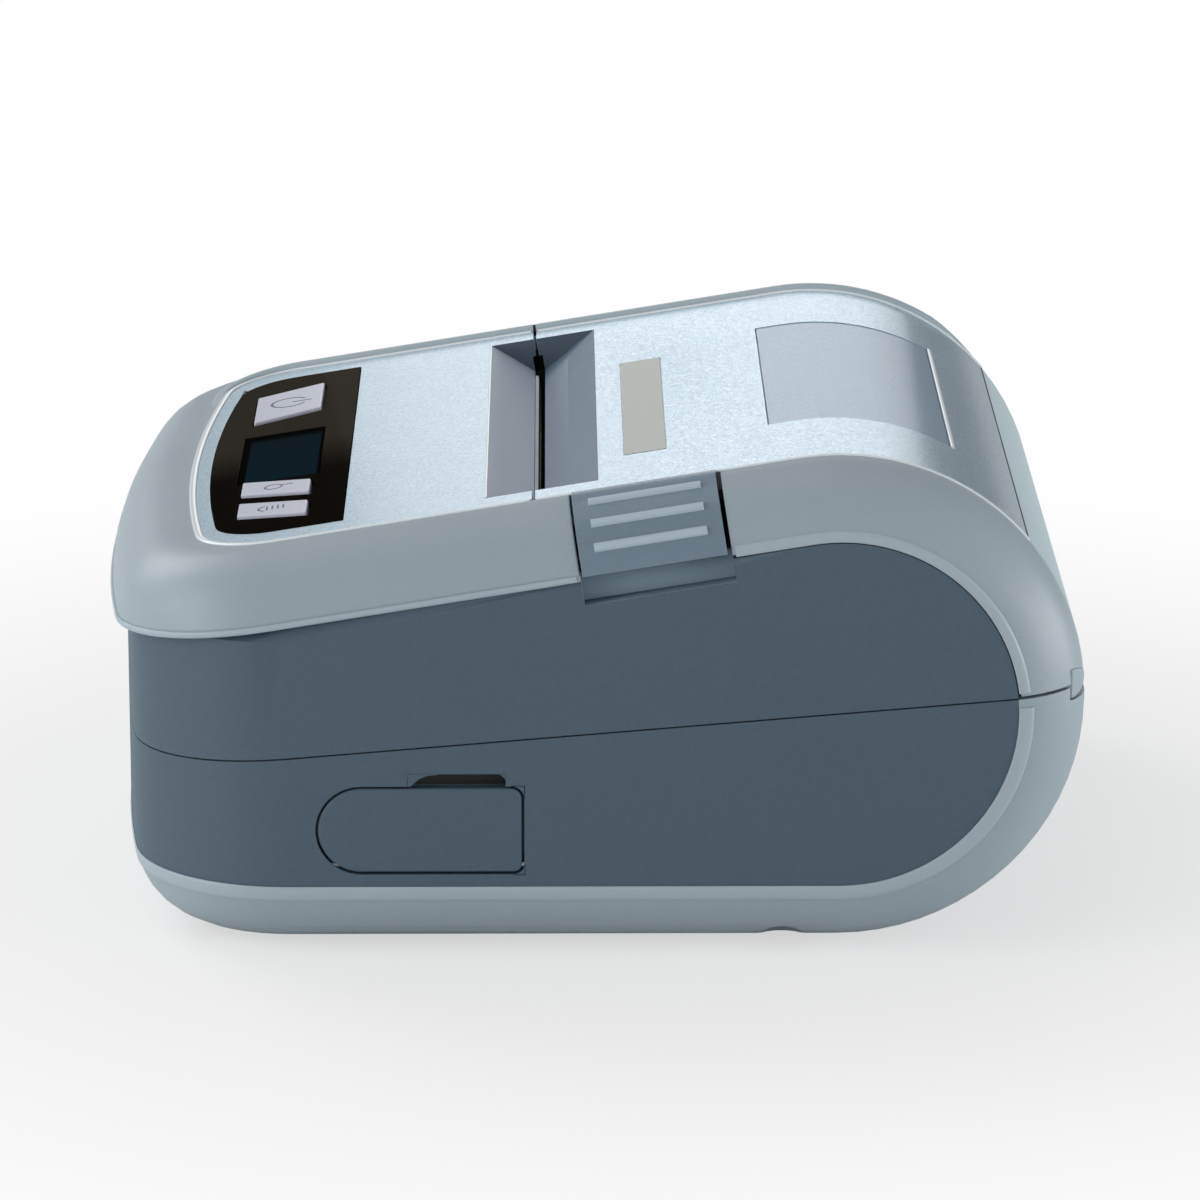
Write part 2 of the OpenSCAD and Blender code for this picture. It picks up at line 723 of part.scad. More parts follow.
module platen_gear() {
    color("ivory") at_deck() gear([platen_u, platen_w], platen_teeth,
        mesh_turn + 180 + 180 / platen_teeth, shaft_r);
}

module idler_gear() {
    color("ivory") at_deck() gear(idler, idler_teeth, mesh_turn, 1.2 + run_gap);
}

module motor_pinion() {
    color([0.8, 0.7, 0.4]) at_deck() {
        gear(pinion, pinion_teeth,
            pinion_turn + 180 + 180 / pinion_teeth + mesh_shift * idler_teeth / pinion_teeth, 0.5);
        rod(pinion[0], pinion[1], 0.75, frame_y - 3, gear_y + gear_t);
    }
}

module stepper_motor() {
    color(steel) at_deck() difference() {
        rod(pinion[0], pinion[1], motor_r, frame_y - 0.1 - motor_l, frame_y - 0.1);
        rod(pinion[0], pinion[1], 0.75 + run_gap, frame_y - 4, frame_y);
    }
}

module platen_shaft() {
    color(steel) at_deck() rod(platen_u, platen_w, shaft_r, -frame_y - plate_t - 0.8, gear_y + gear_t + 0.4);
}

module platen_roller() {
    color([0.08, 0.08, 0.08]) at_deck() difference() {
        rod(platen_u, platen_w, platen_r, -platen_l / 2, platen_l / 2);
        rod(platen_u, platen_w, shaft_r, -platen_l, platen_l);
    }
}

module platen_bushes() {
    color("ivory") at_deck() both_sides() difference() {
        rod(platen_u, platen_w, bush_r, arm_y, frame_y + plate_t + 0.2);
        rod(platen_u, platen_w, shaft_r + run_gap, 0, big);
    }
}

module mechanism_frame() {
    left = pinion[0] - 9;
    right = platen_u + 6.5;
    top = under_w - 2.7;
    low = platen_w - 18.6;
    open_w = bush_r + fit;
    color([0.2, 0.2, 0.22]) at_deck() {
        difference() {
            both_sides() plate([[left, low + 1.4], [right, low], [right + 2, low + 9], [right + 2, low + 17],
                [platen_u + 2, top], [left, top]], frame_y, frame_y + plate_t);
            both_sides() {
                rod(platen_u, platen_w, open_w, 0, big);
                plate([[platen_u - open_w * lift[1], platen_w + open_w * lift[0]],
                    [platen_u + open_w * lift[1], platen_w - open_w * lift[0]],
                    [platen_u + 12 * lift[0] + (open_w + 2) * lift[1],
                        platen_w + 12 * lift[1] - (open_w + 2) * lift[0]],
                    [platen_u + 12 * lift[0] - (open_w + 2) * lift[1],
                        platen_w + 12 * lift[1] + (open_w + 2) * lift[0]]], 0, big);
            }
            rod(pinion[0], pinion[1], gear_m * pinion_teeth / 2 + 1, 0, big);
        }
        block([beam_u - 2, -frame_y - 0.1, platen_w - 2.2], [beam_u, frame_y + 0.1, top]);
        block([platen_u - 3, -frame_y - 0.1, low], [platen_u - 0.5, frame_y + 0.1, low + 2.4]);
        both_sides() difference() {
            block([ear_u - 3, frame_y - 6.4, under_w - 1.6], [ear_u + 3, frame_y + 0.1, under_w - 0.3]);
            translate([ear_u, frame_y - 4, 0]) cylinder(r = 1.1, h = big);
        }
        both_sides() block([ear_u - 3, frame_y, top - 1], [ear_u + 3, frame_y + plate_t, under_w - 0.3]);
        rod(idler[0], idler[1], 1.2, frame_y + 0.5, gear_y + gear_t + 0.4);
        rod(lever_at[0], lever_at[1], 1.2, -frame_y - plate_t - 3.3, -frame_y - 0.5);
    }
}

module print_head() {
    color([0.15, 0.12, 0.10]) at_deck()
        block([head_u - 0.7, -head_half, platen_w - 2.2], [head_u, head_half, platen_w + 4.6]);
}

module head_heatsink() {
    color(steel) at_deck()
        block([head_u - 3, -head_half, platen_w - 2.7], [head_u - 0.7, head_half, platen_w + 4.8]);
}

module head_springs() {
    color(steel) at_deck() for (y = [-24, 0, 24])
        translate([beam_u, y, platen_w + 1]) rotate([0, 90, 0]) difference() {
            cylinder(r = 1.9, h = head_u - 3 - beam_u);
            translate([0, 0, -1]) cylinder(r = 1.4, h = 9);
        }
}

module head_cable() {
    color([0.75, 0.45, 0.12]) at_deck()
        block([head_u - 3.3, 3, platen_w - 19.3], [head_u - 3, 21, platen_w + 3.4]);
}

module paper_sensor() {
    color([0.1, 0.1, 0.12]) at_deck()
        block([head_u - 3, -5, platen_w - 6.2], [head_u - 0.3, 1.5, platen_w - 2.7]);
}

module lid_switch() {
    color([0.1, 0.1, 0.12]) at_deck()
        block([beam_u - 7, 3.9 - frame_y, platen_w - 1.6], [beam_u - 2, 13.9 - frame_y, platen_w + 4.4]);
}

module mechanism_screws() {
    color(steel) at_deck() both_sides() screw(ear_u, frame_y - 4, under_w - 1.6, 0.9, 1.7, 3);
}

module roll_cradle() {
    r0 = rear_r - roll_room + 1.6;
    r1 = rear_r - wall - 0.3;
    color([0.25, 0.28, 0.31]) {
        difference() {
            intersection() {
                rod(rear_x, rear_z, r1, -bay_half, bay_half);
                union() {
                    block([0, -big, 0], [big, big, 24]);
                    rod_x(rear_x, rear_x + 1, 0, rear_z, 0.1);
                }
            }
            rod(rear_x, rear_z, r0, -bay_half - 1, bay_half + 1);
        }
        both_sides() intersection() {
            rod(rear_x, rear_z, r1, bay_half - 0.1, bay_half + 1.6);
            below_parting(fit + 0.3);
            block([rear_x - 22.9, 0, 0], [hinge_x - 5, big, big]);
        }
    }
}

module main_board() {
    color(board_green) difference() {
        union() {
            block([nose_x + 12.2, 18 - half_w, board_z], [nose_x + 21.7, half_w - 18, board_z + board_t]);
            block([nose_x + 20.7, 6 - half_w, board_z], [rear_x - 28.9, half_w - 6, board_z + board_t]);
        }
        for (p = board_posts) both_sides() translate([p[0], p[1], 0]) cylinder(r = 1.1, h = big);
        for (p = case_posts) both_sides() translate([p[0], p[1], 0]) cylinder(r = post_r + 1, h = big);
    }
}

module board_screws() {
    color(steel) for (p = board_posts) both_sides()
        translate([0, 0, board_z + board_t]) mirror([0, 0, 1]) screw(p[0], p[1], 0, 0.8, 1.8, 6);
}

module radio_module() {
    color([0.75, 0.76, 0.78]) translate([nose_x + 15.7, 4, board_z + board_t]) cube([18, 14, 2.4]);
}

module buzzer() {
    color([0.08, 0.08, 0.08]) translate([nose_x + 23.7, -20, board_z + board_t]) difference() {
        cylinder(r = 6, h = 5);
        translate([0, 0, 4]) cylinder(r = 1, h = 2);
    }
}

module socket_board() {
    color(board_green)
        block([flap_x0 + 0.8, socket_y + 0.5, flap_z0 - 1.2], [flap_x0 + 24.8, socket_y + 14.4, flap_z0]);
}

module dc_jack() {
    color([0.08, 0.08, 0.08]) difference() {
        block([jack_x - 5, socket_y, flap_z0], [jack_x + 5, socket_y + 11.4, flap_z0 + 9.8]);
        rod(jack_x, jack_z, jack_r, socket_y - 1, socket_y + 9);
    }
}

module jack_pin() {
    color(steel) rod(jack_x, jack_z, 1, socket_y + 1.5, socket_y + 9);
}

module usb_socket() {
    color(steel) translate([flap_x0 + 2.8, socket_y, flap_z0]) difference() {
        cube([7.8, 8.8, 4]);
        translate([0.6, -1, 0.6]) cube([6.6, 8.4, 2.8]);
    }
}

module usb_tongue() {
    color([0.08, 0.08, 0.08]) translate([flap_x0 + 4.4, socket_y + 1.5, flap_z0 + 1.8]) cube([4.6, 5.9, 0.8]);
}

module battery_case() {
    color([0.12, 0.13, 0.15]) difference() {
        block([pack_x, -pack_l / 2, pack_z], [pack_x + pack_w, pack_l / 2, pack_z + pack_h]);
        for (i = [-1, 1]) rod(pack_x + pack_w / 2 + i * (cell_r + 0.1), pack_z + pack_h / 2, cell_r + 0.05,
            -pack_l / 2 + 2, pack_l / 2 - 2);
    }
}

module battery_cells() {
    color([0.2, 0.45, 0.6]) for (i = [-1, 1])
        rod(pack_x + pack_w / 2 + i * (cell_r + 0.1), pack_z + pack_h / 2, cell_r, 2.5 - pack_l / 2, pack_l / 2 - 2.5);
}

module battery_contacts() {
    color("gold") for (i = [0:3]) translate([pack_x + 8.5 + i * 7, 0, 0]) {
        block([0, pack_l / 2, pack_z + 8], [2, pack_l / 2 + 0.6, board_z]);
        block([0, pack_l / 2 + 0.5, board_z - 0.6], [2, pack_l / 2 + 3, board_z]);
    }
}

module battery_door() {
    z = floor_z + 0.2;
    color(trim_grey) {
        block([door_x0, -door_half, z], [door_x1, door_half, z + door_t]);
        rod(door_x0, z + door_t / 2, door_t / 2, -door_half, door_half);
        rod(door_x0, z + door_t / 2, 0.7, -door_half - 1.6, door_half + 1.6);
    }
}

module rubber_feet() {
    color([0.1, 0.1, 0.1]) for (f = feet) both_sides()
        translate([f[0], f[1], 0]) cylinder(r = foot_r, h = floor_z + 0.8);
}

module case_screws() {
    color(steel) for (p = case_posts) both_sides()
        screw(p[0], p[1], head_seat, screw_r, 2.4, part_at(p[0]) + 1.5);
}

// Lid
module lid_wall() {
    difference() {
        top_hull(0);
        top_hull(wall);
        side_core(seam);
        below_parting(-seam / 2);
        at_deck() {
            block([-big, -big, -big], [-split_u + seam / 2, big, big]);
            block([-big, -big, -big], [latch_u1 + latch_gap, -silver_half - seam, big]);
        }
    }
}

module lid_trim() {
    near = knuckle_y - fit;
    far = knuckle_y + knuckle_l + fit;
    color(trim_grey) difference() {
        union() {
            difference() {
                lid_wall();
                plate([[rear_x, rear_z], [rear_x, rear_z] + big * [cos(silver_stop), sin(silver_stop)],
                    [-big, big], [-big, rear_z]], -silver_half, silver_half);
                both_sides() rod(hinge_x, hinge_z, barrel_r + fit, near, far);
            }
            both_sides() {
                rod(hinge_x, hinge_z, barrel_r, -1, near);
                intersection() {
                    rod(hinge_x, hinge_z, barrel_r, far, barrel_end);
                    translate([hinge_x + barrel_r + 0.1, half_w, hinge_z - 5]) linear_extrude(10) {
                        translate([-edge_r, -edge_r]) circle(edge_r);
                        translate([-big, -big]) square([big, big - edge_r]);
                    }
                }
            }
        }
        both_sides() rod(hinge_x, hinge_z, pin_r + run_gap, near - 4, far + 4);
        at_lid_screws() translate([0, 0, -1]) cylinder(r = 0.5, h = 2.2);
    }
}

module hinge_pins() {
    color(steel) both_sides() rod(hinge_x, hinge_z, pin_r, knuckle_y - 4, knuckle_y + knuckle_l + 4);
}

module lid_cover() {
    edge = silver_half - 0.1;
    color(silver) difference() {
        union() {
            difference() {
                top_band(-split_u + seam / 2, silver_end - 0.1, 0, wall, -edge, edge);
                at_deck() block([-big, -groove_half, 0], [slot_back, groove_half, big]);
            }
            at_deck() plate([[slot_back, groove_w], [slot_back, groove_w - 1.8],
                [slot_back + 1, groove_w - 1.8], [slot_back + groove_back + 2.6, rear_r - 0.2],
                [slot_back + groove_back, rear_r - 0.2]], -groove_half - 1.4, groove_half + 1.4);
            at_deck() both_sides() plate([[slot_back, groove_w - 1.5], [slot_back + 7, under_w - 1.4],
                [slot_back + 7, under_w + 0.1], [slot_back, under_w + 0.1]], groove_half, groove_half + 1.4);
        }
        at_deck() plate([[slot_back - 1, groove_w], [slot_back, groove_w],
            [slot_back + groove_back, rear_r + 0.01], [slot_back - 1, rear_r + 0.01]],
            -groove_half, groove_half);
        top_band(inlay_t0, inlay_t0 + inlay_l, -1, inlay_d, -inlay_w / 2, inlay_w / 2);
        top_band(label_t0, label_t0 + label_w, -1, 0.2, label_y - label_l / 2, label_y + label_l / 2);
        at_lid_screws() translate([0, 0, -1]) cylinder(r = 0.5, h = 2.2);
    }
}

module lid_inlay() {
    color([0.55, 0.60, 0.66]) top_band(inlay_t0 + 0.1, inlay_t0 + inlay_l - 0.1, 0.1, inlay_d - 0.05,
        -inlay_w / 2 + 0.1, inlay_w / 2 - 0.1);
}

module lid_label() {
    color([0.80, 0.82, 0.78]) top_band(label_t0 + 0.1, label_t0 + label_w - 0.1, -0.05, 0.2,
        label_y - label_l / 2 + 0.1, label_y + label_l / 2 - 0.1);
}

module lid_liner() {
    ring = bush_r + 1.8;
    arc = PI / 180 * rear_r;
    low = slot_back + groove_back;
    color([0.25, 0.28, 0.31]) difference() {
        union() {
            top_band(low, 84 * arc, wall + 0.9, wall + 2.1, -arm_y - 1.9, arm_y + 1.9);
            both_sides() {
                top_band(low + 1, 80 * arc, wall + 0.05, wall + 1, arm_y + 0.6, arm_y + 1.9);
                at_deck() difference() {
                    union() {
                        rod(platen_u, platen_w, ring, arm_y, arm_y + 1.9);
                        plate([[platen_u - ring, platen_w], [platen_u + ring - 1, platen_w],
                            [low + 1.5, under_w - 1.2], [low - 1, under_w - 2.1],
                            [platen_u - ring + 2.3, under_w - 4.2]], arm_y, arm_y + 1.9);
                    }
                    rod(platen_u, platen_w, bush_r, 0, big);
                }
            }
        }
        at_lid_screws() translate([0, 0, -4]) cylinder(r = 0.5, h = 5.2);
    }
}

module lid_screws() {
    color(steel) at_lid_screws() {
        translate([0, 0, -2.9]) cylinder(r = 1.2, h = 0.75);
        translate([0, 0, -2.2]) cylinder(r = 0.5, h = 3.4);
    }
}

// Places of the screws that hold the liner, with Z outwards from the inside of the lid's wall
module at_lid_screws() {
    for (a = [60, 20]) both_sides() translate([rear_x, arm_y + 1.25, rear_z]) rotate([0, 90 - a, 0])
        translate([0, 0, rear_r - wall]) children();
}

bottom_shell();
lower_case();
upper_case();
front_trim();
front_panel();
keypad_bezel();
power_key();
mode_key();
feed_key();
lcd_lens();
lcd_module();
keypad_board();
push_switches();
tear_bar();
print_head();
head_heatsink();
head_springs();
head_cable();
paper_sensor();
lid_switch();
mechanism_frame();
mechanism_screws();
stepper_motor();
motor_pinion();
idler_gear();
platen_gear();
platen_shaft();
platen_roller();
platen_bushes();
roll_cradle();
main_board();
board_screws();
radio_module();
buzzer();
socket_board();
dc_jack();
jack_pin();
usb_socket();
usb_tongue();
battery_case();
battery_cells();
battery_contacts();
battery_door();
rubber_feet();
case_screws();
port_flap();
latch_button();
latch_spring();
release_lever();
lid_cover();
lid_trim();
lid_inlay();
lid_label();
lid_liner();
lid_screws();
hinge_pins();
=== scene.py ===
# %% [markdown]
# # A portable thermal printer, dressed for its portrait
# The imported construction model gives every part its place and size. This lesson adds what a
# maker adds last: soft edges on the mouldings, painted and textured plastic, a lit stage and a
# camera. Everything is in metres, and each new piece rides on the body that really carries it.

# %% Load the construction model
import json
import math

import bmesh
import bpy
import numpy as np
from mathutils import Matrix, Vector


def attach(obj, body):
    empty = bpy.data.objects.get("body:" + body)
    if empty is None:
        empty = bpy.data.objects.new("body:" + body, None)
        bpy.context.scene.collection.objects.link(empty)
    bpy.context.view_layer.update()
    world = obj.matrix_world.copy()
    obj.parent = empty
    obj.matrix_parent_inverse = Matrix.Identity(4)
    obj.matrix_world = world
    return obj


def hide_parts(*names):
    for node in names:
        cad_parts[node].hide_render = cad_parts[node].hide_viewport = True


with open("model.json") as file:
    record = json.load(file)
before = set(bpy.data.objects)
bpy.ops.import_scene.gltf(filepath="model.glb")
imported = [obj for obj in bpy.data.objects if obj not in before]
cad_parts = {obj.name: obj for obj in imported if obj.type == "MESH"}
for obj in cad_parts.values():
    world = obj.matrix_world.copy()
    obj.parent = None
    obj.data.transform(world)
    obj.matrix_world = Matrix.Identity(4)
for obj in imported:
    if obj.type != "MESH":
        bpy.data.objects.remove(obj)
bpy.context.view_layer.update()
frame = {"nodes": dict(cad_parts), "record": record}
MM = 0.001

# %% [markdown]
# The body is measured once here, in millimetres as on a drawing: the slope of the top, the centre
# and radius of the round hinge end, half the width, and the round of the long edges. The sloping
# top has its own frame: u runs up the slope to the crest, y goes across and w stands square to the
# top, so the top's surface lies at w = REAR_R.

# %% Sizes that shape the top
REAR_R, HALF_W, EDGE_R = 30.8, 56.0, 9.5
REAR_CENTRE = np.array([30.9, 0.0, 31.3])
SLOPE = math.radians(9.2)
RISE = np.array([math.cos(SLOPE), 0.0, math.sin(SLOPE)])
SQUARE = np.array([-math.sin(SLOPE), 0.0, math.cos(SLOPE)])
ACROSS = np.array([0.0, 1.0, 0.0])


def on_top(u, y, w):
    """Places in metres from the sloping top's frame: the rear centre, plus u along the slope, plus y
    across, plus w square to the slope. Arrays, lists or numbers, in millimetres."""
    u, y, w = (value[..., None] for value in np.broadcast_arrays(u, y, w))
    return (REAR_CENTRE + u * RISE + y * ACROSS + w * SQUARE) * MM


print("middle of the top's crest:", on_top(0, 0, REAR_R).round(4))

# %% [markdown]
# ## Meshes from the construction model
# A moulding never has a knife edge: the tool that cuts its mould leaves a small round. The
# construction parts are exact and sharp, so a copy of each visible one is merged, its flat faces are
# joined again, and a narrow Bevel catches the light along every edge. Smooth shading below a set
# angle keeps the round forms round.

# %% Copy a part and soften its edges
def in_scene(name, data):
    """A new object for some data, linked to the scene."""
    thing = bpy.data.objects.new(name, data)
    bpy.context.scene.collection.objects.link(thing)
    return thing


def merged_copy(node_name):
    """The node's triangles with shared corners merged and flat neighbours joined into one face."""
    mesh = frame["nodes"][node_name].data.copy()
    work = bmesh.new()
    work.from_mesh(mesh)
    bmesh.ops.remove_doubles(work, verts=work.verts, dist=2e-6)
    bmesh.ops.dissolve_limit(work, angle_limit=math.radians(0.6), verts=work.verts, edges=work.edges)
    work.to_mesh(mesh)
    work.free()
    return mesh


def add_piece(mesh, name, body, material):
    """Makes a mesh a piece that rides on a body and takes the given material."""
    piece = in_scene(name, mesh)
    mesh.materials.clear()
    mesh.materials.append(material)
    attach(piece, body)
    return piece


def smooth_below(mesh, degrees):
    """Shades every face smooth and marks the edges that turn by more than the angle as sharp."""
    mesh.polygons.foreach_set("use_smooth", np.ones(len(mesh.polygons), bool))
    mesh.set_sharp_from_angle(angle=math.radians(degrees))


def bevel_edges(piece, width, degrees):
    """A live Bevel, its width in millimetres, on the edges that turn by more than the angle."""
    bevel = piece.modifiers.new("Bevel", "BEVEL")
    bevel.width = width * MM
    bevel.segments = 3
    bevel.limit_method = "ANGLE"
    bevel.angle_limit = math.radians(degrees)
    return bevel


BODIES = frame["record"]["behaviour"]["bodies"]
BODY_OF = {node_name: body for body, node_names in BODIES.items() for node_name in node_names}
SHARP_ANGLE = 28


def soften(node_name, width, material):
    """A bevelled copy of a node, in place of the sharp one."""
    mesh = merged_copy(node_name)
    piece = add_piece(mesh, node_name + "_moulding", BODY_OF[node_name], material)
    smooth_below(mesh, SHARP_ANGLE)
    bevel_edges(piece, width, SHARP_ANGLE).harden_normals = True
    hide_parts(node_name)
    return piece


print("bodies:", sorted(BODIES))

# %% [markdown]
# ## Finishes
# Most of this printer is moulded plastic, and no moulding is one flat colour: the mould leaves a
# fine grain, the pigment drifts a little and hands polish the high places. One shader group gives
# the grain and the drift to every plastic part, each with its own colour, grain size and depth. A
# second group draws the tiny metal flakes of the silver paint, and a third lays a little dust on
# what faces up.

# %% Small helpers for shader trees
def srgb(red, green, blue):
    """A colour given from 0 to 255, as the linear colour that the shader wants."""
    values = np.array([red, green, blue]) / 255
    return [*np.where(values <= 0.04045, values / 12.92, ((values + 0.055) / 1.055) ** 2.4), 1.0]


def shade(colour, factor, lift=0.0):
    """A linear colour made darker or lighter, at most 1."""
    return [min(1.0, factor * value + lift) for value in colour[:3]] + [1.0]


def new_group(name, inputs, outputs):
    """A shader node group: inputs maps a socket's name to its plain value, outputs to its type. Gives
    the tree, what comes in and the node that takes what goes out."""
    tree = bpy.data.node_groups.new(name, "ShaderNodeTree")
    for label, value in inputs.items():
        kind = "NodeSocketFloat" if isinstance(value, float) else "NodeSocketColor"
        tree.interface.new_socket(label, in_out="INPUT", socket_type=kind).default_value = value
    for label, kind in outputs.items():
        tree.interface.new_socket(label, in_out="OUTPUT", socket_type="NodeSocket" + kind)
    return tree, tree.nodes.new("NodeGroupInput").outputs, tree.nodes.new("NodeGroupOutput")


def feed(tree, made, sockets):
    """Fills a node's sockets by name or number: an output is linked and a plain value is written."""
    for label, value in sockets.items():
        if isinstance(value, bpy.types.NodeSocket):
            tree.links.new(value, made.inputs[label])
        else:
            made.inputs[label].default_value = value
    return made


def node(tree, kind, sockets=None, **settings):
    """Adds a shader node of a kind, sets its properties and fills its sockets."""
    made = tree.nodes.new("ShaderNode" + kind)
    for label, value in settings.items():
        setattr(made, label, value)
    return feed(tree, made, sockets or {})


def object_place(tree):
    """Object coordinates, in metres."""
    return node(tree, "TexCoord").outputs["Object"]


def noise(tree, place, scale, detail=3.0, rough=0.5):
    """Noise on a place, its scale in features a metre."""
    sockets = {"Vector": place, "Scale": scale, "Detail": detail, "Roughness": rough}
    return node(tree, "TexNoise", sockets).outputs["Fac"]


def remap(tree, value, low, high, to_low=0.0, to_high=1.0, **settings):
    """Stretches a value's range from low..high to to_low..to_high, held at the ends."""
    ends = {"Value": value, "From Min": low, "From Max": high, "To Min": to_low, "To Max": to_high}
    return node(tree, "MapRange", ends, **settings).outputs["Result"]


def mixed(tree, share, first, second):
    """Two colours mixed by a share. The Mix node's colour sockets are known by their numbers."""
    return node(tree, "Mix", {0: share, 6: first, 7: second}, data_type="RGBA").outputs[2]


def maths(tree, operation, first, second=0.0):
    """One sum of two values."""
    return node(tree, "Math", {0: first, 1: second}, operation=operation).outputs[0]


def swing(tree, value, amount):
    """A texture's value as a swing about nought: (value - 0.5) * amount."""
    return maths(tree, "MULTIPLY", maths(tree, "SUBTRACT", value, 0.5), amount)


def varied(tree, colour, first, second):
    """A colour made lighter and darker by two swings: colour * (1 + first + second)."""
    level = maths(tree, "ADD", maths(tree, "ADD", first, second), 1.0)
    return node(tree, "VectorMath", {0: colour, "Scale": level}, operation="SCALE").outputs["Vector"]


print("slate as a linear colour:", [round(float(v), 3) for v in srgb(72, 90, 102)])

# %% [markdown]
# The grain group works on Object coordinates, which are metres here, so a scale of 2500 is a
# grain of 0.4 mm. It gives back a drifting colour, a roughness that varies with it and a height
# for a Bump node. The colour drifts at two sizes: broad cloudiness and the grain itself.

# %% The moulded grain group
SURFACE = {"Colour": "Color", "Roughness": "Float", "Height": "Float"}
GREY = (0.5, 0.5, 0.5, 1)
grain_group, given, gives = new_group("moulded_grain", {
    "Colour": GREY, "Drift": 0.06, "Grain Scale": 2500.0, "Grain Tint": 0.05, "Base Roughness": 0.5,
    "Roughness Drift": 0.06}, SURFACE)
place = object_place(grain_group)
cloud = noise(grain_group, place, 38.0, 4.0)
grain = noise(grain_group, place, given["Grain Scale"], 2.0)
drift = swing(grain_group, cloud, given["Drift"])
speckle = swing(grain_group, grain, given["Grain Tint"])
wander = swing(grain_group, cloud, given["Roughness Drift"])
feed(grain_group, gives, {
    "Colour": varied(grain_group, given["Colour"], drift, speckle),
    "Roughness": maths(grain_group, "ADD", wander, given["Base Roughness"]), "Height": grain})
print("grain group sockets:", [s.name for s in grain_group.interface.items_tree])

# %% [markdown]
# Silver paint is a clear lacquer full of aluminium flakes. Each flake lies at its own tilt, so
# it is bright or dull on its own, and that glint is painted into the colour: a Voronoi texture
# gives every cell a random colour, and its cells of about 0.2 mm, finer than a real printer shows
# from arm's length, are the flakes. The height that it gives back is the fine orange peel of
# sprayed lacquer, at about 0.4 mm.

# %% The metal flake group
flake_group, given, gives = new_group("metal_flakes", {
    "Colour": GREY, "Flake Scale": 3400.0, "Sparkle": 0.35, "Base Roughness": 0.35}, SURFACE)
place = object_place(flake_group)
cells = node(flake_group, "TexVoronoi", {"Vector": place, "Scale": given["Flake Scale"]})
flake = node(flake_group, "SeparateColor", {"Color": cells.outputs["Color"]}).outputs
# painted glint: each flake's cell is made lighter or darker at random, as its tilt would catch light
bright = swing(flake_group, flake["Red"], given["Sparkle"])
soft = swing(flake_group, noise(flake_group, place, 30.0), 0.08)
spread = swing(flake_group, flake["Green"], 0.2)
feed(flake_group, gives, {
    "Colour": varied(flake_group, given["Colour"], bright, soft),
    "Roughness": maths(flake_group, "ADD", spread, given["Base Roughness"]),
    "Height": noise(flake_group, place, 2600.0, 1.0)})
print("flake group nodes:", len(flake_group.nodes))

# %% [markdown]
# Dust settles on what faces up and is wiped off elsewhere. The third group compares the
# surface's Normal with straight up, breaks the result with a noise, and mixes in a pale colour.

# %% The dust group
DUST = (0.62, 0.60, 0.56, 1)
dust_group, given, gives = new_group("settled_dust", {"Colour": GREY, "Amount": 0.05}, {"Colour": "Color"})
facing = node(dust_group, "NewGeometry").outputs["Normal"]
up = node(dust_group, "SeparateXYZ", {"Vector": facing}).outputs["Z"]
patches = remap(dust_group, noise(dust_group, object_place(dust_group), 160.0, 6.0, 0.65), 0.42, 0.75)
settled = maths(dust_group, "MULTIPLY", patches, remap(dust_group, up, 0.35, 0.95))
share = maths(dust_group, "MULTIPLY", settled, given["Amount"])
feed(dust_group, gives, {"Colour": mixed(dust_group, share, given["Colour"], DUST)})
print("dust group nodes:", len(dust_group.nodes))

# %% [markdown]
# A recipe is a function that makes one finish: it places the shared groups with that finish's own
# colour, grain and roughness, and keeps the shader, with its plain numbers, in the material. Each
# could be wired by hand, but one recipe for all plastics keeps them alike, as parts from one
# factory are. Sheet metal shows fine lines from rolling, so its recipe squeezes a noise along Y.

# %% Recipes for plastic and metal
def start_material(name):
    """A new material, with its tree and its Principled shader."""
    material = bpy.data.materials.new(name)
    material.use_nodes = True
    return material, material.node_tree, material.node_tree.nodes["Principled BSDF"]


def bump(tree, height, depth, strength=1.0):
    """The normal of a height, its depth in millimetres."""
    sockets = {"Height": height, "Strength": strength, "Distance": depth * MM}
    return node(tree, "Bump", sockets).outputs["Normal"]


def dusty_surface(tree, group, sockets, dust):
    """Places a surface group and dust over its colour: the dusty colour, and all that the group gives."""
    surface = node(tree, "Group", sockets, node_tree=group).outputs
    dusty = node(tree, "Group", {"Colour": surface["Colour"], "Amount": dust}, node_tree=dust_group)
    return dusty.outputs["Colour"], surface


def moulded(name, colour, grain=2500.0, depth=0.03, rough=0.5, drift=0.08, tint=0.06, dust=0.05, coat=0.0):
    """Moulded plastic: the grain group for colour, roughness and bump, with settled dust over it."""
    material, tree, shader = start_material(name)
    dusty, surface = dusty_surface(tree, grain_group, {
        "Colour": srgb(*colour), "Drift": drift, "Grain Scale": grain, "Grain Tint": tint,
        "Base Roughness": rough, "Roughness Drift": 0.1}, dust)
    feed(tree, shader, {"Base Color": dusty, "Roughness": surface["Roughness"], "Coat Weight": coat,
                        "Coat Roughness": 0.08, "Normal": bump(tree, surface["Height"], depth)})
    return material


def metal(name, colour, rough=0.3, brush=1.0):
    """Metal with brushing: noise squeezed along Y by the brush's factor."""
    material, tree, shader = start_material(name)
    place, colour = object_place(tree), srgb(*colour)
    drawn = node(tree, "Mapping", {"Vector": place, "Scale": (1.0, brush, 1.0)}).outputs["Vector"]
    lines = noise(tree, drawn, 900.0, 4.0, 0.6)
    stain = remap(tree, noise(tree, place, 120.0), 0.3, 0.7, rough - 0.05, rough + 0.05)
    tone = mixed(tree, remap(tree, lines, 0.3, 0.7, 0.0, 0.25), colour, shade(colour, 0.6))
    polish = maths(tree, "ADD", remap(tree, lines, 0.3, 0.7, -0.06, 0.08), stain)
    feed(tree, shader, {"Base Color": tone, "Roughness": polish, "Metallic": 1.0,
                        "Normal": bump(tree, lines, 0.004)})
    return material


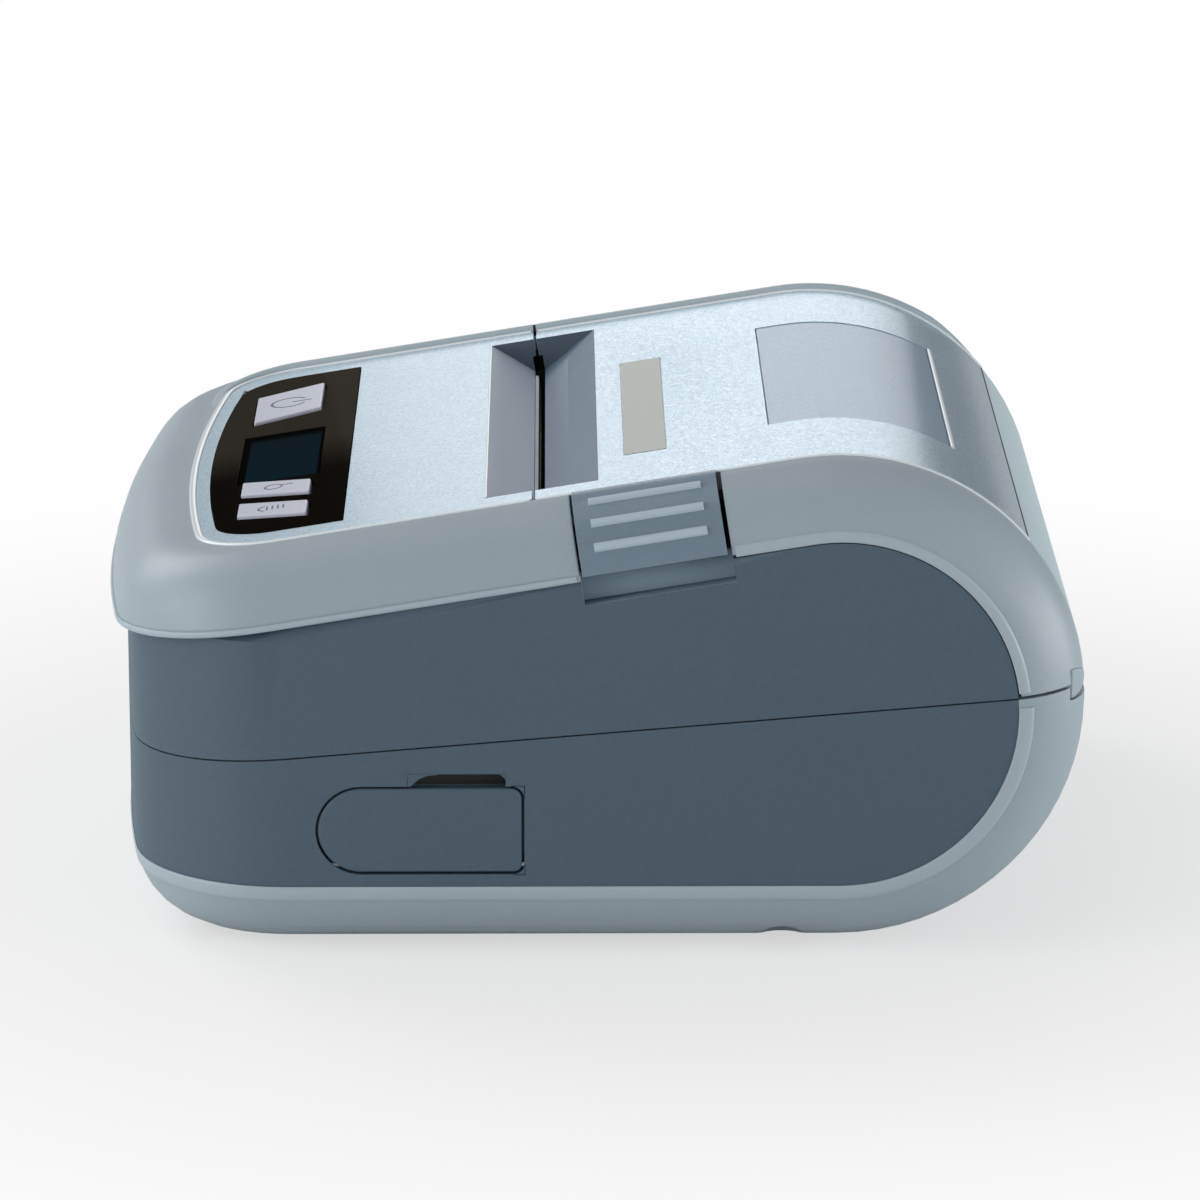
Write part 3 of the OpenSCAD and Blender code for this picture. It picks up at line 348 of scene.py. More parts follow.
trim_plastic = moulded(
    "trim_plastic", (158, 173, 181), grain=2600, depth=0.02, rough=0.42, drift=0.05, tint=0.12)
slate_plastic = moulded(
    "slate_plastic", (75, 96, 109), grain=2100, depth=0.05, rough=0.55, drift=0.1, tint=0.22)
black_moulding = moulded("black_moulding", (32, 32, 34), grain=1800)
liner_plastic = moulded("liner_plastic", (92, 100, 108), grain=1500, depth=0.04, rough=0.6)
gear_plastic = moulded("gear_plastic", (226, 222, 208), grain=1200, depth=0.02, rough=0.45)
rubber_skin = moulded(
    "rubber_skin", (38, 38, 39), grain=900, depth=0.05, rough=0.8, drift=0.2, tint=0.15, dust=0.15)
spring_steel = metal("spring_steel", (190, 192, 196))
brass_metal = metal("brass_metal", (214, 178, 104))
print("plastics and metals so far:", [m.name for m in bpy.data.materials])

# %% [markdown]
# The top of the body and of the lid is sprayed silver. Its flakes come from the flake group, under
# a clear coat, and it is only partly metallic, or it would mirror the studio and lose its colour.
# The latch and the inlay are the same paint, darker and calmer. The latch's ribs are painted
# lighter, a painted highlight, and they are so narrow that flakes would break them into dashes, so
# they are a plain moulding.

# %% Silver paint
def painted_silver(name, colour, sparkle, flake_scale, rough, metallic):
    """Flake paint: partly metallic, with a thin clear coat and a faint orange-peel bump."""
    material, tree, shader = start_material(name)
    dusty, flakes = dusty_surface(tree, flake_group, {
        "Colour": srgb(*colour), "Sparkle": sparkle, "Base Roughness": rough,
        "Flake Scale": flake_scale}, 0.04)
    feed(tree, shader, {"Base Color": dusty, "Roughness": flakes["Roughness"], "Metallic": metallic,
                        "Coat Weight": 0.25, "Coat Roughness": 0.12,
                        "Normal": bump(tree, flakes["Height"], 0.004, 0.5)})
    return material


silver_paint = painted_silver("silver_paint", (196, 219, 232), 0.3, 4300.0, rough=0.4, metallic=0.72)
latch_paint = painted_silver("latch_paint", (122, 143, 158), 0.08, 5200.0, rough=0.4, metallic=0.3)
inlay_film = painted_silver("inlay_film", (150, 174, 193), 0.06, 6500.0, rough=0.42, metallic=0.42)
# painted highlight: the ribs are painted lighter than the latch, for the light their rounded tops catch
rib_painted_highlight = moulded(
    "rib_painted_highlight", (178, 197, 211), grain=2600, depth=0.01, rough=0.36, tint=0.03, dust=0.0, coat=0.15)
print("paints:", silver_paint.name, latch_paint.name, inlay_film.name, rib_painted_highlight.name)

# %% [markdown]
# The keypad is a glossy black plate with lavender-silver keys and a dark teal display window. With
# the display off, the smoked window hides the module, so it could be drawn as clear glass over a
# dark sheet, but a dark opaque sheet with a printed border looks the same and stays free of noise.
# From the low camera a full gloss would mirror the white room, so the plain reflection is off, and
# the brown reflection of a studio card on the plate's far half is painted into its colour instead.

# %% Keypad materials
KEY_U = -66.73
WIPES = (6.0, 0.7)  # detail and roughness of the noise that draws wiping marks
QUIET_GLOSS = {"Specular IOR Level": 0.0, "Coat Weight": 0.015}


def bezel_painted_reflection():
    """Black gloss with a painted reflection: its far half is painted the brown of a studio card mirrored
    in it, the colour going from one to the other along y, with wiping marks in the roughness."""
    material, tree, shader = start_material("bezel_gloss")
    place = object_place(tree)
    smears = noise(tree, place, 90.0, *WIPES)
    y = node(tree, "SeparateXYZ", {"Vector": place}).outputs["Y"]
    wavy_y = maths(tree, "ADD", y, remap(tree, smears, 0.3, 0.7, -0.0015, 0.0015))
    # painted reflection: along y the colour goes from near-black to the brown of a mirrored studio card
    feed(tree, shader, {
        "Base Color": mixed(tree, remap(tree, wavy_y, -0.012, 0.004), srgb(18, 15, 12), srgb(52, 48, 42)),
        "Roughness": remap(tree, smears, 0.35, 0.7, 0.1, 0.22), "Coat Roughness": 0.05,
        "Normal": bump(tree, smears, 0.008), **QUIET_GLOSS})
    return material


def display_glass():
    """The module's glass: grey green, with faint pixel columns, seen only with the window off."""
    material, tree, shader = start_material("lcd_glass")
    place = object_place(tree)
    grid = node(tree, "TexWave", {"Vector": place, "Scale": 900.0}, bands_direction="Y").outputs["Fac"]
    tone = mixed(tree, noise(tree, place, 55.0), srgb(120, 132, 118), srgb(134, 146, 130))
    feed(tree, shader, {"Base Color": tone, "Roughness": remap(tree, grid, 0.0, 1.0, 0.10, 0.16),
                        "Normal": bump(tree, grid, 0.002)})
    return material


def smoked_window():
    """The display's window: a black printed border, and inside it dark teal that fades towards the
    far side. The border is where u or y, in millimetres, lies near the window's edge."""
    material, tree, shader = start_material("window_smoked")
    place = object_place(tree)
    along = node(tree, "VectorMath", {0: place, 1: tuple(RISE / MM)}, operation="DOT_PRODUCT")
    middle = float(RISE @ on_top(KEY_U, 0, REAR_R)) / MM + 0.25
    up_slope = maths(tree, "ABSOLUTE", maths(tree, "SUBTRACT", along.outputs["Value"], middle))
    y = node(tree, "SeparateXYZ", {"Vector": place}).outputs["Y"]
    sideways = maths(tree, "ADD", maths(tree, "MULTIPLY", y, 1 / MM), 2.4)
    border = maths(tree, "MAXIMUM", remap(tree, up_slope, 4.6, 4.8), remap(tree, sideways, 8.6, 10.6))
    haze = remap(tree, noise(tree, place, 70.0), 0.3, 0.7, -0.15, 0.15)
    fade = maths(tree, "ADD", remap(tree, sideways, -11.0, 11.0, 0.0, 0.7), haze)
    teal = mixed(tree, fade, srgb(16, 35, 42), srgb(22, 32, 38))
    smears = noise(tree, place, 110.0, *WIPES)
    feed(tree, shader, {
        "Base Color": mixed(tree, border, teal, srgb(7, 7, 8)),
        "Roughness": remap(tree, smears, 0.35, 0.7, 0.05, 0.14),
        "Normal": bump(tree, smears, 0.004), **QUIET_GLOSS})
    return material


bezel_gloss, lcd_glass, window_smoked = bezel_painted_reflection(), display_glass(), smoked_window()
key_lacquer = moulded("key_lacquer", (206, 210, 225), grain=3200, depth=0.005, rough=0.35, drift=0.04,
                      tint=0.03, dust=0.02, coat=0.15)
print("keypad finishes:", bezel_gloss.name, key_lacquer.name, lcd_glass.name, window_smoked.name)

# %% [markdown]
# The label on the lid is a pale sticker, warm white and left blank, and its fibre and yellowing
# keep it from being flat. Inside are the green boards and the steel and cast parts of the mechanism.
# The glazed print head, its amber cable and the wrapped cells share one recipe for thin glossy
# films: fine specks in the colour and wiping marks in the roughness.

# %% Sticker and small-part materials
def lacquer(name, colour, rough, coat):
    """Glossy film with specks, fine wiping marks in its roughness and a barely visible ripple."""
    material, tree, shader = start_material(name)
    place, colour = object_place(tree), srgb(*colour)
    smears = noise(tree, place, 90.0, *WIPES)
    specks = remap(tree, noise(tree, place, 2400.0, 2.0), 0.35, 0.7, 0.0, 0.35)
    feed(tree, shader, {
        "Base Color": mixed(tree, specks, colour, shade(colour, 1.5, 0.004)),
        "Roughness": remap(tree, smears, 0.35, 0.7, rough - 0.04, rough + 0.1),
        "Coat Weight": coat, "Coat Roughness": 0.05, "Normal": bump(tree, smears, 0.01)})
    return material


label_film = moulded(
    "label_film", (186, 190, 184), grain=1500, depth=0.01, rough=0.45, drift=0.12, tint=0.08, dust=0.0)
board_green = moulded(
    "board_green", (28, 84, 54), grain=800, depth=0.02, rough=0.35, drift=0.15, tint=0.2, coat=0.3)
socket_steel = metal("socket_steel", (178, 182, 186), rough=0.32, brush=14)
alloy_cast = metal("alloy_cast", (176, 178, 180), rough=0.42, brush=18)
ceramic_head = lacquer("ceramic_head", (104, 96, 84), rough=0.2, coat=0.4)
polyimide_film = lacquer("polyimide_film", (196, 122, 42), rough=0.28, coat=0.2)
cell_wrap = lacquer("cell_wrap", (58, 108, 160), rough=0.3, coat=0.2)
frame_black = moulded("frame_black", (46, 48, 52), grain=1700, rough=0.55)
print("all finishes:", len(bpy.data.materials))

# %% [markdown]
# ## Dressing the parts
# Mouldings that show get a softened copy. The number beside each is the bevel's width in
# millimetres: broad on the outer shells, which hands hold, and fine on thin plates and keys.

# %% Softened mouldings
SOFTENED = {
    "bottom_shell": (0.35, trim_plastic), "front_trim": (0.4, trim_plastic), "lid_trim": (0.4, trim_plastic),
    "lower_case": (0.25, slate_plastic), "upper_case": (0.25, slate_plastic),
    "front_panel": (0.25, silver_paint), "lid_cover": (0.25, silver_paint),
    "keypad_bezel": (0.15, bezel_gloss), "power_key": (0.25, key_lacquer), "mode_key": (0.25, key_lacquer),
    "feed_key": (0.25, key_lacquer), "latch_button": (0.2, latch_paint), "lid_inlay": (0.1, inlay_film),
    "battery_door": (0.3, slate_plastic), "rubber_feet": (0.3, rubber_skin),
    "lid_liner": (0.2, liner_plastic), "roll_cradle": (0.2, liner_plastic),
    "mechanism_frame": (0.2, frame_black), "platen_roller": (0.15, rubber_skin),
    "release_lever": (0.15, frame_black),
}
mouldings = {name: soften(name, width, material) for name, (width, material) in SOFTENED.items()}
print("softened:", len(mouldings), "pieces")

# %% [markdown]
# The lid cover's round end is made of narrow flat strips. One strip ends 0.02 mm behind the inlay's
# recess, too close for the recess's soft edge, which would fold over it. That strip's line is
# moved one degree further round, on the same radius, so the edge has room.

# %% Room for the soft edge behind the inlay
def top_frame(places):
    """Places in the part's frame, in millimetres, as three arrays: u, y and w of the sloping top."""
    from_rear = places - REAR_CENTRE
    return from_rear @ RISE, from_rear[:, 1], from_rear @ SQUARE


STRIP_ANGLE, MOVE = 38.36, 1.0
cover_mesh = mouldings["lid_cover"].data
corners = np.array([corner.co for corner in cover_mesh.vertices])
u, y, w = top_frame(corners / MM)
round_angle = np.degrees(np.arctan2(u, w))
on_line = (abs(round_angle - STRIP_ANGLE) < 0.01) & (abs(np.hypot(u, w) - REAR_R) < 0.01) & (abs(y) > 40)
moved_angle = np.radians(round_angle[on_line] + MOVE)
corners[on_line] = on_top(REAR_R * np.sin(moved_angle), y[on_line], REAR_R * np.cos(moved_angle))
cover_mesh.vertices.foreach_set("co", corners.ravel())
cover_mesh.update()
print("corners moved:", int(on_line.sum()))

# %% [markdown]
# Boards, screws, springs, gears, sockets and the battery are small or inside, and the construction
# mesh is already right for them. They keep it and only take a better material, which is set on the
# object so that the mesh stays untouched. The last line of the cell names any part left out.

# %% Finishes for the parts that keep their own mesh
KEPT = {
    window_smoked: ["lcd_lens"], lcd_glass: ["lcd_module"], label_film: ["lid_label"],
    board_green: ["keypad_board", "main_board", "socket_board"],
    black_moulding: ["push_switches", "paper_sensor", "lid_switch", "buzzer", "dc_jack", "usb_tongue",
                     "battery_case"],
    socket_steel: ["tear_bar", "stepper_motor", "usb_socket", "jack_pin", "radio_module"],
    alloy_cast: ["head_heatsink"], ceramic_head: ["print_head"], polyimide_film: ["head_cable"],
    spring_steel: ["head_springs", "latch_spring", "platen_shaft", "mechanism_screws", "board_screws",
                   "case_screws", "lid_screws", "hinge_pins"],
    brass_metal: ["motor_pinion", "battery_contacts"],
    gear_plastic: ["idler_gear", "platen_gear", "platen_bushes"], cell_wrap: ["battery_cells"],
}
for material, node_names in KEPT.items():
    for node_name in node_names:
        for material_slot in frame["nodes"][node_name].material_slots:
            material_slot.link = "OBJECT"
            material_slot.material = material
dressed = set(SOFTENED).union(*KEPT.values()) | {"port_flap"}
print("dressed:", len(dressed), "of", len(frame["nodes"]), "left:", sorted(set(frame["nodes"]) - dressed))

# %% [markdown]
# ## Second finishes on one moulding
# Some mouldings show a second colour on some faces, and these colours are painted light and shade.
# The groove's walls are the silver top in light and shade, painted as colours: the front wall
# lighter, the back wall darker and the far ends darker still. The rear crossbar of the lid's trim
# and the latch's pocket are painted lighter, as if more light reached them, the latch's ribs carry a
# painted highlight, and the nail slot above the flap is painted near-black as the shade in its
# recess. Each could be a piece of its own, but the real one is one moulding, so the faces whose
# middles lie in the right place take a second material.

# %% Give some faces of a moulding another material
def face_places(name):
    """Middles of all faces of a softened moulding in millimetres, as one array."""
    return np.array([face.center for face in mouldings[name].data.polygons]) / MM


def second_finish(name, chosen, material):
    """Gives the chosen faces, an array of true and false, another material."""
    mesh = mouldings[name].data
    mesh.materials.append(material)
    for number in np.flatnonzero(chosen).tolist():
        mesh.polygons[number].material_index = len(mesh.materials) - 1
    print(name, "took", material.name, "on", int(chosen.sum()), "faces")


def between(values, low, high):
    """True where a value lies between two others."""
    return (values > low) & (values < high)


# painted light and shade: the groove's front wall is painted lighter, its back wall and far ends darker
groove_front_painted_light = moulded("groove_front_painted_light", (208, 218, 233), grain=2400, depth=0.02)
groove_end_painted_shade = moulded("groove_end_painted_shade", (92, 107, 119), grain=2400, depth=0.02)
groove_back_painted_shade = moulded("groove_back_painted_shade", (104, 122, 139), grain=2400, depth=0.02)
# painted light: the latch's pocket is painted lighter than the slate, as if light reached into it
pocket_painted_light = moulded("pocket_painted_light", (138, 162, 176), grain=2100)
# painted light: the lid trim's crossbar is painted lighter than the trim, for the light that it faces
crossbar_painted_light = moulded("crossbar_painted_light", (184, 204, 210), grain=2400, depth=0.02)
# painted shade: near-black for the shade in the nail slot and the far parting gap, and the dark joint
shade_and_joint_black = moulded("shade_and_joint_black", (12, 12, 14), grain=1800, depth=0.02, rough=0.6, dust=0.0)
print("second finishes:", len(bpy.data.materials), "materials now")

# %% [markdown]
# Each place is found in the frame that suits it: the groove and the latch in the sloping top's, the
# crossbar by its distance and angle from the rear centre, and the slot in the part's own.

# %% The groove, the crossbar, the latch and the slot
GROOVE_U, GROOVE_REACH, GROOVE_END = -33.4, 8.4, 41.0
# the groove's walls take their painted light and shade
for name, groove_wall_painted_light in (("front_panel", groove_front_painted_light), ("lid_cover", groove_back_painted_shade)):
    u, y, w = top_frame(face_places(name))
    in_groove = (abs(u - GROOVE_U) < GROOVE_REACH) & (abs(y) < GROOVE_END + 0.6) & (w < REAR_R - 0.1)
    second_finish(name, in_groove & (abs(y) < GROOVE_END), groove_wall_painted_light)
    second_finish(name, in_groove & (abs(y) >= GROOVE_END), groove_end_painted_shade)

CROSSBAR_TOP = 44.0  # degrees above +X, seen from the rear centre
# the crossbar takes its painted light
x, y, z = (face_places("lid_trim") - REAR_CENTRE).T
outer_skin = (np.hypot(x, z) > REAR_R - 0.2) & (abs(y) < 1.0)
second_finish("lid_trim", outer_skin & (np.degrees(np.arctan2(z, x)) < CROSSBAR_TOP), crossbar_painted_light)

LATCH_U, LATCH_Y, LATCH_W = -19.45, -46.5, 21.3
LATCH_FACE = 9.803  # the button's outer radius, in millimetres: only the ribs stand further out
# the latch's pocket takes its painted light
u, y, w = top_frame(face_places("upper_case"))
second_finish("upper_case", (abs(u - LATCH_U) < 9.6) & between(y, -55.9, -52.0) & (w > 18.9), pocket_painted_light)
# the latch's ribs take the painted highlight
u, y, w = top_frame(face_places("latch_button"))
second_finish("latch_button", np.hypot(y - LATCH_Y, w - LATCH_W) > LATCH_FACE, rib_painted_highlight)
# painted shade: the nail slot's recess is painted near-black
x, y, z = face_places("lower_case").T
in_slot = between(x, -22.7, -10.4) & between(y, -55.99, -54.4) & between(z, 21.9, 24.1)
second_finish("lower_case", in_slot, shade_and_joint_black)

# %% [markdown]
# ## Rolled lips
# The trim has a small rolled lip along each free edge: round the silver panel, along the dark side
# panels and along the lower shell. A lip could be a bevel, but it stands proud and catches its own
# highlight, so it is a closed tube: an ellipse carried along the edge, half sunk in the moulding.
# On the far side the trim's edge stands up as a bead that dies away round the corner, so the
# ellipse's half width and half height may change along the path. The lips are painted a little
# lighter than the trim, a painted highlight on top of the one their shape catches.

# %% An ellipse carried along a path
def grid_faces(rows, columns, close_columns=False):
    """Four-cornered faces of a grid of points stored row by row, optionally closed round its columns."""
    row, column = np.meshgrid(np.arange(rows - 1), np.arange(columns - (not close_columns)), indexing="ij")
    here = row * columns + column
    beside = row * columns + (column + 1) % columns
    return np.stack([here, beside, beside + columns, here + columns], axis=-1).reshape(-1, 4).tolist()


def closed_piece(name, rings, body, material):
    """A closed piece from equal rings of points in metres, at least two: each ring is joined to the
    next, the first and last are capped, and the faces turn outwards."""
    count, around = rings.shape[:2]
    last = (count - 1) * around
    faces = grid_faces(count, around, close_columns=True)
    faces += [list(range(around))[::-1], list(range(last, last + around))]
    mesh = bpy.data.meshes.new(name)
    mesh.from_pydata(rings.reshape(-1, 3).tolist(), [], faces)
    work = bmesh.new()
    work.from_mesh(mesh)
    bmesh.ops.recalc_face_normals(work, faces=work.faces)
    work.to_mesh(mesh)
    work.free()
    smooth_below(mesh, 60)
    return add_piece(mesh, name, body, material)


def carried(name, path, outward, across, wide, high, body, material, sides=14):
    """A closed tube along a path in millimetres. At each of its points the section is
    path + across * wide * cos(angle) + outward * high * sin(angle), with the angle once round. The
    two directions, the half width and the half height are the same all along, or one for each point."""
    turn = np.linspace(0, 2 * np.pi, sides, endpoint=False)[:, None]
    outward, across = (np.broadcast_to(way, path.shape)[:, None, :] for way in (outward, across))
    wide, high = (np.broadcast_to(size, len(path))[:, None, None] for size in (wide, high))
    rings = path[:, None, :] + across * (wide * np.cos(turn)) + outward * (high * np.sin(turn))
    print(name, "length", round(float(np.linalg.norm(np.diff(path, axis=0), axis=1).sum()), 1), "mm")
    return closed_piece(name, rings * MM, body, material)


# painted highlight: the lips are painted a little lighter than the trim
lip_highlight_plastic = moulded("lip_highlight_plastic", (170, 185, 193), grain=2600, depth=0.015, rough=0.4, tint=0.05)
# painted highlight: the rim and the bright cut edges are painted near-white, brighter than the silver
rim_painted_highlight = moulded("rim_painted_highlight", (232, 240, 243), grain=2600, depth=0.004, rough=0.3, tint=0.03, dust=0.0,
                     coat=0.4)
print("finishes of the lips:", lip_highlight_plastic.name, rim_painted_highlight.name)

# %% [markdown]
# Seen from above, the trim's outline is a straight side, a round corner and a slightly bowed nose.
# One function gives its points and outward directions from the near side round to the far side.
# The rim round the silver panel, the raised far bead outside it, the lip under the trim and the lip
# of the lower shell all use it, each moved in from the outline by its own distance.

# %% The lips round the nose
def nose_outline(front, half, corner, bow, side_end):
    """Points and outward directions in plan, about 1.2 mm apart: straight at y = -half from side_end,
    an arc of radius corner, an arc of radius bow across the nose at x = front, and the same mirrored."""
    step = 1.2
    centre_y = half - corner
    centre_x = front + bow - math.sqrt((bow - corner) ** 2 - centre_y ** 2)
    spread = math.asin(centre_y / (bow - corner))
    corner_turn = np.linspace(1.5 * np.pi, np.pi + spread, int(corner * 1.4 / step) + 6)
    bow_turn = np.linspace(np.pi + spread, np.pi, int(bow * spread / step) + 2)[1:]
    corner_way, bow_way = (np.stack([np.cos(turn), np.sin(turn)], axis=1) for turn in (corner_turn, bow_turn))
    side_x = np.linspace(side_end, centre_x + 0.3, max(2, int(abs(side_end - centre_x) / step)))
    near = np.concatenate([np.stack([side_x, np.full(len(side_x), -half)], axis=1),
                           np.array([centre_x, -centre_y]) + corner * corner_way,
                           np.array([front + bow, 0.0]) + bow * bow_way])
    way = np.concatenate([np.tile([0.0, -1.0], (len(side_x), 1)), corner_way, bow_way])
    return tuple(np.concatenate([half_way, half_way[-2::-1] * [1.0, -1.0]]) for half_way in (near, way))


def on_deck(points, ways, w):
    """Plan points and directions of the sloping top as places in the part's frame, in millimetres."""
    return on_top(points[:, 0], points[:, 1], w) / MM, ways[:, :1] * RISE + ways[:, 1:] * ACROSS


NOSE_U, NOSE_X, NOSE_CORNER, NOSE_BOW, TRIM_LOW = -90.23, -59.9, 20.0, 303.0, 22.0
RIM_INSET, BEAD_INSET, PANEL_NOSE = 9.85, 8.8, 2.1
RIM_WIDE, RIM_HIGH, BEAD_HIGH, BEAD_SINK = 0.44, 0.2, 0.85, 0.1


def moved_in(inset):
    """Half width, corner radius and bow radius of the outline, moved in by a distance."""
    return HALF_W - inset, NOSE_CORNER - inset, NOSE_BOW - inset


outline, ways = nose_outline(NOSE_U + RIM_INSET + PANEL_NOSE, *moved_in(RIM_INSET), -33.9)
path, across = on_deck(outline, ways, REAR_R)
carried("silver_rim_front", path, SQUARE, across, RIM_WIDE, RIM_HIGH, "case", rim_painted_highlight)

outline, ways = nose_outline(NOSE_U + BEAD_INSET + PANEL_NOSE, *moved_in(BEAD_INSET), -33.6)
far = outline[:, 1] > 20.0
path, across = on_deck(outline[far], ways[far], REAR_R - BEAD_SINK)
grows = np.clip((outline[far, 1] - 24.0) / 23.0, 0.05, 1.0) ** 2
wide, high = 0.5 + 0.6 * grows, BEAD_HIGH * grows
carried("far_bead_front", path, SQUARE, across, wide, high, "case", lip_highlight_plastic)

outline, ways = nose_outline(NOSE_U + 0.03, HALF_W - 0.03, NOSE_CORNER, NOSE_BOW, -29.4)
path, outward = on_deck(outline, ways, TRIM_LOW + 0.5)
carried("trim_lip_front", path, outward, SQUARE, 0.4, 0.26, "case", lip_highlight_plastic)

# %% [markdown]
# Seen from the side, the lips run along a straight edge and then round the hinge end in an arc. The
# long edges are rounded, so further out than the flat side the surface has turned in by
# EDGE_R - sqrt(EDGE_R^2 - past^2), and faces partly away from the arc's centre.

# %% The lips along the hinge end
def side_surface(radial, radius, side):
    """Offsets in y and the surface's directions where the side, +1 or -1, is cut at a radius from the
    rear centre. radial holds unit directions from that centre."""
    tilt = math.asin(max(0.0, radius - (REAR_R - EDGE_R)) / EDGE_R)
    y = side * (HALF_W - EDGE_R + EDGE_R * math.cos(tilt))
    outward = radial * math.sin(tilt) + side * math.cos(tilt) * ACROSS
    across = radial * math.cos(tilt) - side * math.sin(tilt) * ACROSS
    return y, outward, across


def round_rear(first, last):
    """Unit directions in the side view, up to 3 degrees apart, between two angles above +X."""
    turn = np.radians(np.linspace(first, last, int(abs(last - first) / 3) + 2))
    return np.stack([np.cos(turn), np.zeros(len(turn)), np.sin(turn)], axis=1)


CREST = 90 + math.degrees(SLOPE)


def over_the_top(start, steps, last):
    """Up the slope from u = start in equal steps, then round the hinge end to the last angle: offsets
    of the rear centre, and unit directions from it to the surface."""
    along = np.linspace(start, 0, steps + 1)[:-1, None] * RISE
    turned = round_rear(CREST, last)
    return (np.concatenate([along, np.zeros((len(turned), 3))]),
            np.concatenate([np.tile(SQUARE, (len(along), 1)), turned]))


LIP_REACH = TRIM_LOW + 0.85
for side, label, start, steps in ((-1, "near", -9.6, 5), (1, "far", -33.0, 21)):
    along, radial = over_the_top(start, steps, 7.2)
    y, outward, across = side_surface(radial, LIP_REACH, side)
    path = REAR_CENTRE + along + LIP_REACH * radial + y * ACROSS
    carried("trim_lip_lid_" + label, path, outward, across, 0.72, 0.22, "lid", lip_highlight_plastic)
    along, radial = over_the_top(-33.0, 22, 40.0)
    path = REAR_CENTRE + along + REAR_R * radial + side * (HALF_W - RIM_INSET) * ACROSS
    carried("silver_rim_lid_" + label, path, radial, ACROSS, RIM_WIDE, RIM_HIGH, "lid", rim_painted_highlight)

# the raised bead of the far side follows the far rim's path, just outside it
path = path + (RIM_INSET - BEAD_INSET) * ACROSS - BEAD_SINK * radial
path[0] -= 0.2 * RISE
dies = np.clip(np.linspace(len(path) / 6, 0.0, len(path)), 0.05, 1.0)
carried("far_bead_lid", path, radial, ACROSS, 1.1, BEAD_HIGH * dies, "lid", lip_highlight_plastic)

# %% [markdown]
# The lower shell ends in a broader pale lip below the dark panels. It starts under the parting line
# at the hinge end, comes round under the body, follows the floor line forward and goes round the nose.

# %% The lip of the lower shell
SHELL_LIP, SHELL_TOP = 0.95, 9.3
reach = TRIM_LOW + SHELL_LIP
tilt = math.asin((reach - REAR_R + EDGE_R) / EDGE_R)
turn_in = EDGE_R * (1 - math.cos(tilt))
outline, ways = nose_outline(NOSE_X + turn_in, *moved_in(turn_in), REAR_CENTRE[0] - 0.5)
flat = np.ones(len(outline))
front = (np.column_stack([outline, flat * (SHELL_TOP - SHELL_LIP)]),
         np.column_stack([ways * math.cos(tilt), -flat * math.sin(tilt)]),
         np.column_stack([ways * math.sin(tilt), flat * math.cos(tilt)]))
turned = round_rear(2.5, -90.0)
ends = []
for side in (-1, 1):
    y, outward, across = side_surface(turned, reach, side)
    ends.append((REAR_CENTRE + reach * turned + y * ACROSS, outward, -across))
path, outward, across = (
    np.concatenate([near, middle, far[::-1]]) for near, middle, far in zip(ends[0], front, ends[1]))
carried("shell_lip", path, outward, across, SHELL_LIP, 0.22, "case", lip_highlight_plastic)

# %% [markdown]
# ## Small shapes on the keys
# The keys carry generic marks, printed in dark ink: a broken ring with a bar for power, a ring and
# a line for mode, and a curl with four lines for feed. They could be drawn in the material, but ink
# lines this fine stay crisp as thin tubes sunk in the key's top, and move with the key.

# %% Marks on the keys
key_ink = moulded("key_ink", (96, 102, 132), grain=3000, depth=0.004, dust=0.0)
KEY_TOP = REAR_R + 0.5


def arc(a, b, radius, first, last, points=9):
    """Two arrays, the places of an arc about the centre (a, b), its angles in degrees."""
    turn = np.radians(np.linspace(first, last, points))
    return a + radius * np.cos(turn), b + radius * np.sin(turn)


def stroke(u, y):
    """A straight line: u and y are each one number, or the two ends."""
    return np.linspace(np.min(u), np.max(u), 4), np.linspace(np.min(y), np.max(y), 4)


def mark(name, line, body, wide=0.16):
    """A flat ink line through places (u, y) on a key's top, standing 0.03 mm proud."""
    points = on_top(*line, KEY_TOP) / MM
    ahead = np.gradient(points, axis=0)
    ahead /= np.linalg.norm(ahead, axis=1)[:, None]
    carried(name, points, SQUARE, np.cross(SQUARE, ahead), wide, 0.03, body, key_ink, sides=8)


mark("power_ring", arc(KEY_U, 25, 2.4, 32, 328, 48), "power_key", 0.2)
mark("power_bar", stroke((KEY_U + 0.4, KEY_U + 3.0), 25), "power_key", 0.2)
mark("mode_ring", arc(KEY_U - 0.3, -20.4, 1.1, 0, 350, 36), "mode_key")
mark("mode_line", stroke((KEY_U + 0.9, KEY_U + 2.2), -20), "mode_key")
mark("feed_curl", arc(KEY_U - 0.6, -31.1, 1.2, 110, 250, 20), "feed_key")
for number, offset in enumerate((-0.7, 0.0, 0.7, 1.4)):
    mark("feed_line_%d" % number, stroke(KEY_U + offset, (-32.0, -30.2)), "feed_key", 0.12)

# %% [markdown]
# ## The flap
# The rubber flap over the sockets is drawn anew: a plate with a half-round hinge end and small
# round corners, which a mould gives it and the plain construction solid doesn't have. It turns on a
# thin steel pin. Infills in the plastic of the side wall round the corners of the flap's hole, and
# slant and round the ends of the nail slot, so that the hole follows the flap.

# %% The flap and its infills
def slab(name, corners, y_out, y_in, body, material):
    """A plate across Y between two depths, from an outline of (x, z) corners in millimetres."""
    x, z = np.array(corners, float).T
    ends = np.array([np.column_stack([x, np.full(len(x), y), z]) for y in (y_out, y_in)])
    return closed_piece(name, ends * MM, body, material)


def round_corner(*measures):
    """An arc as a list of (x, z) corners."""
    return np.column_stack(arc(*measures)).tolist()


def infill(x, z, radius, first, last, far_x, far_z):
    """What fills a square corner round an arc about (x, z): the arc and the square's far corners."""
    return round_corner(x, z, radius, first, last) + [[far_x, z], [far_x, far_z], [x, far_z]]


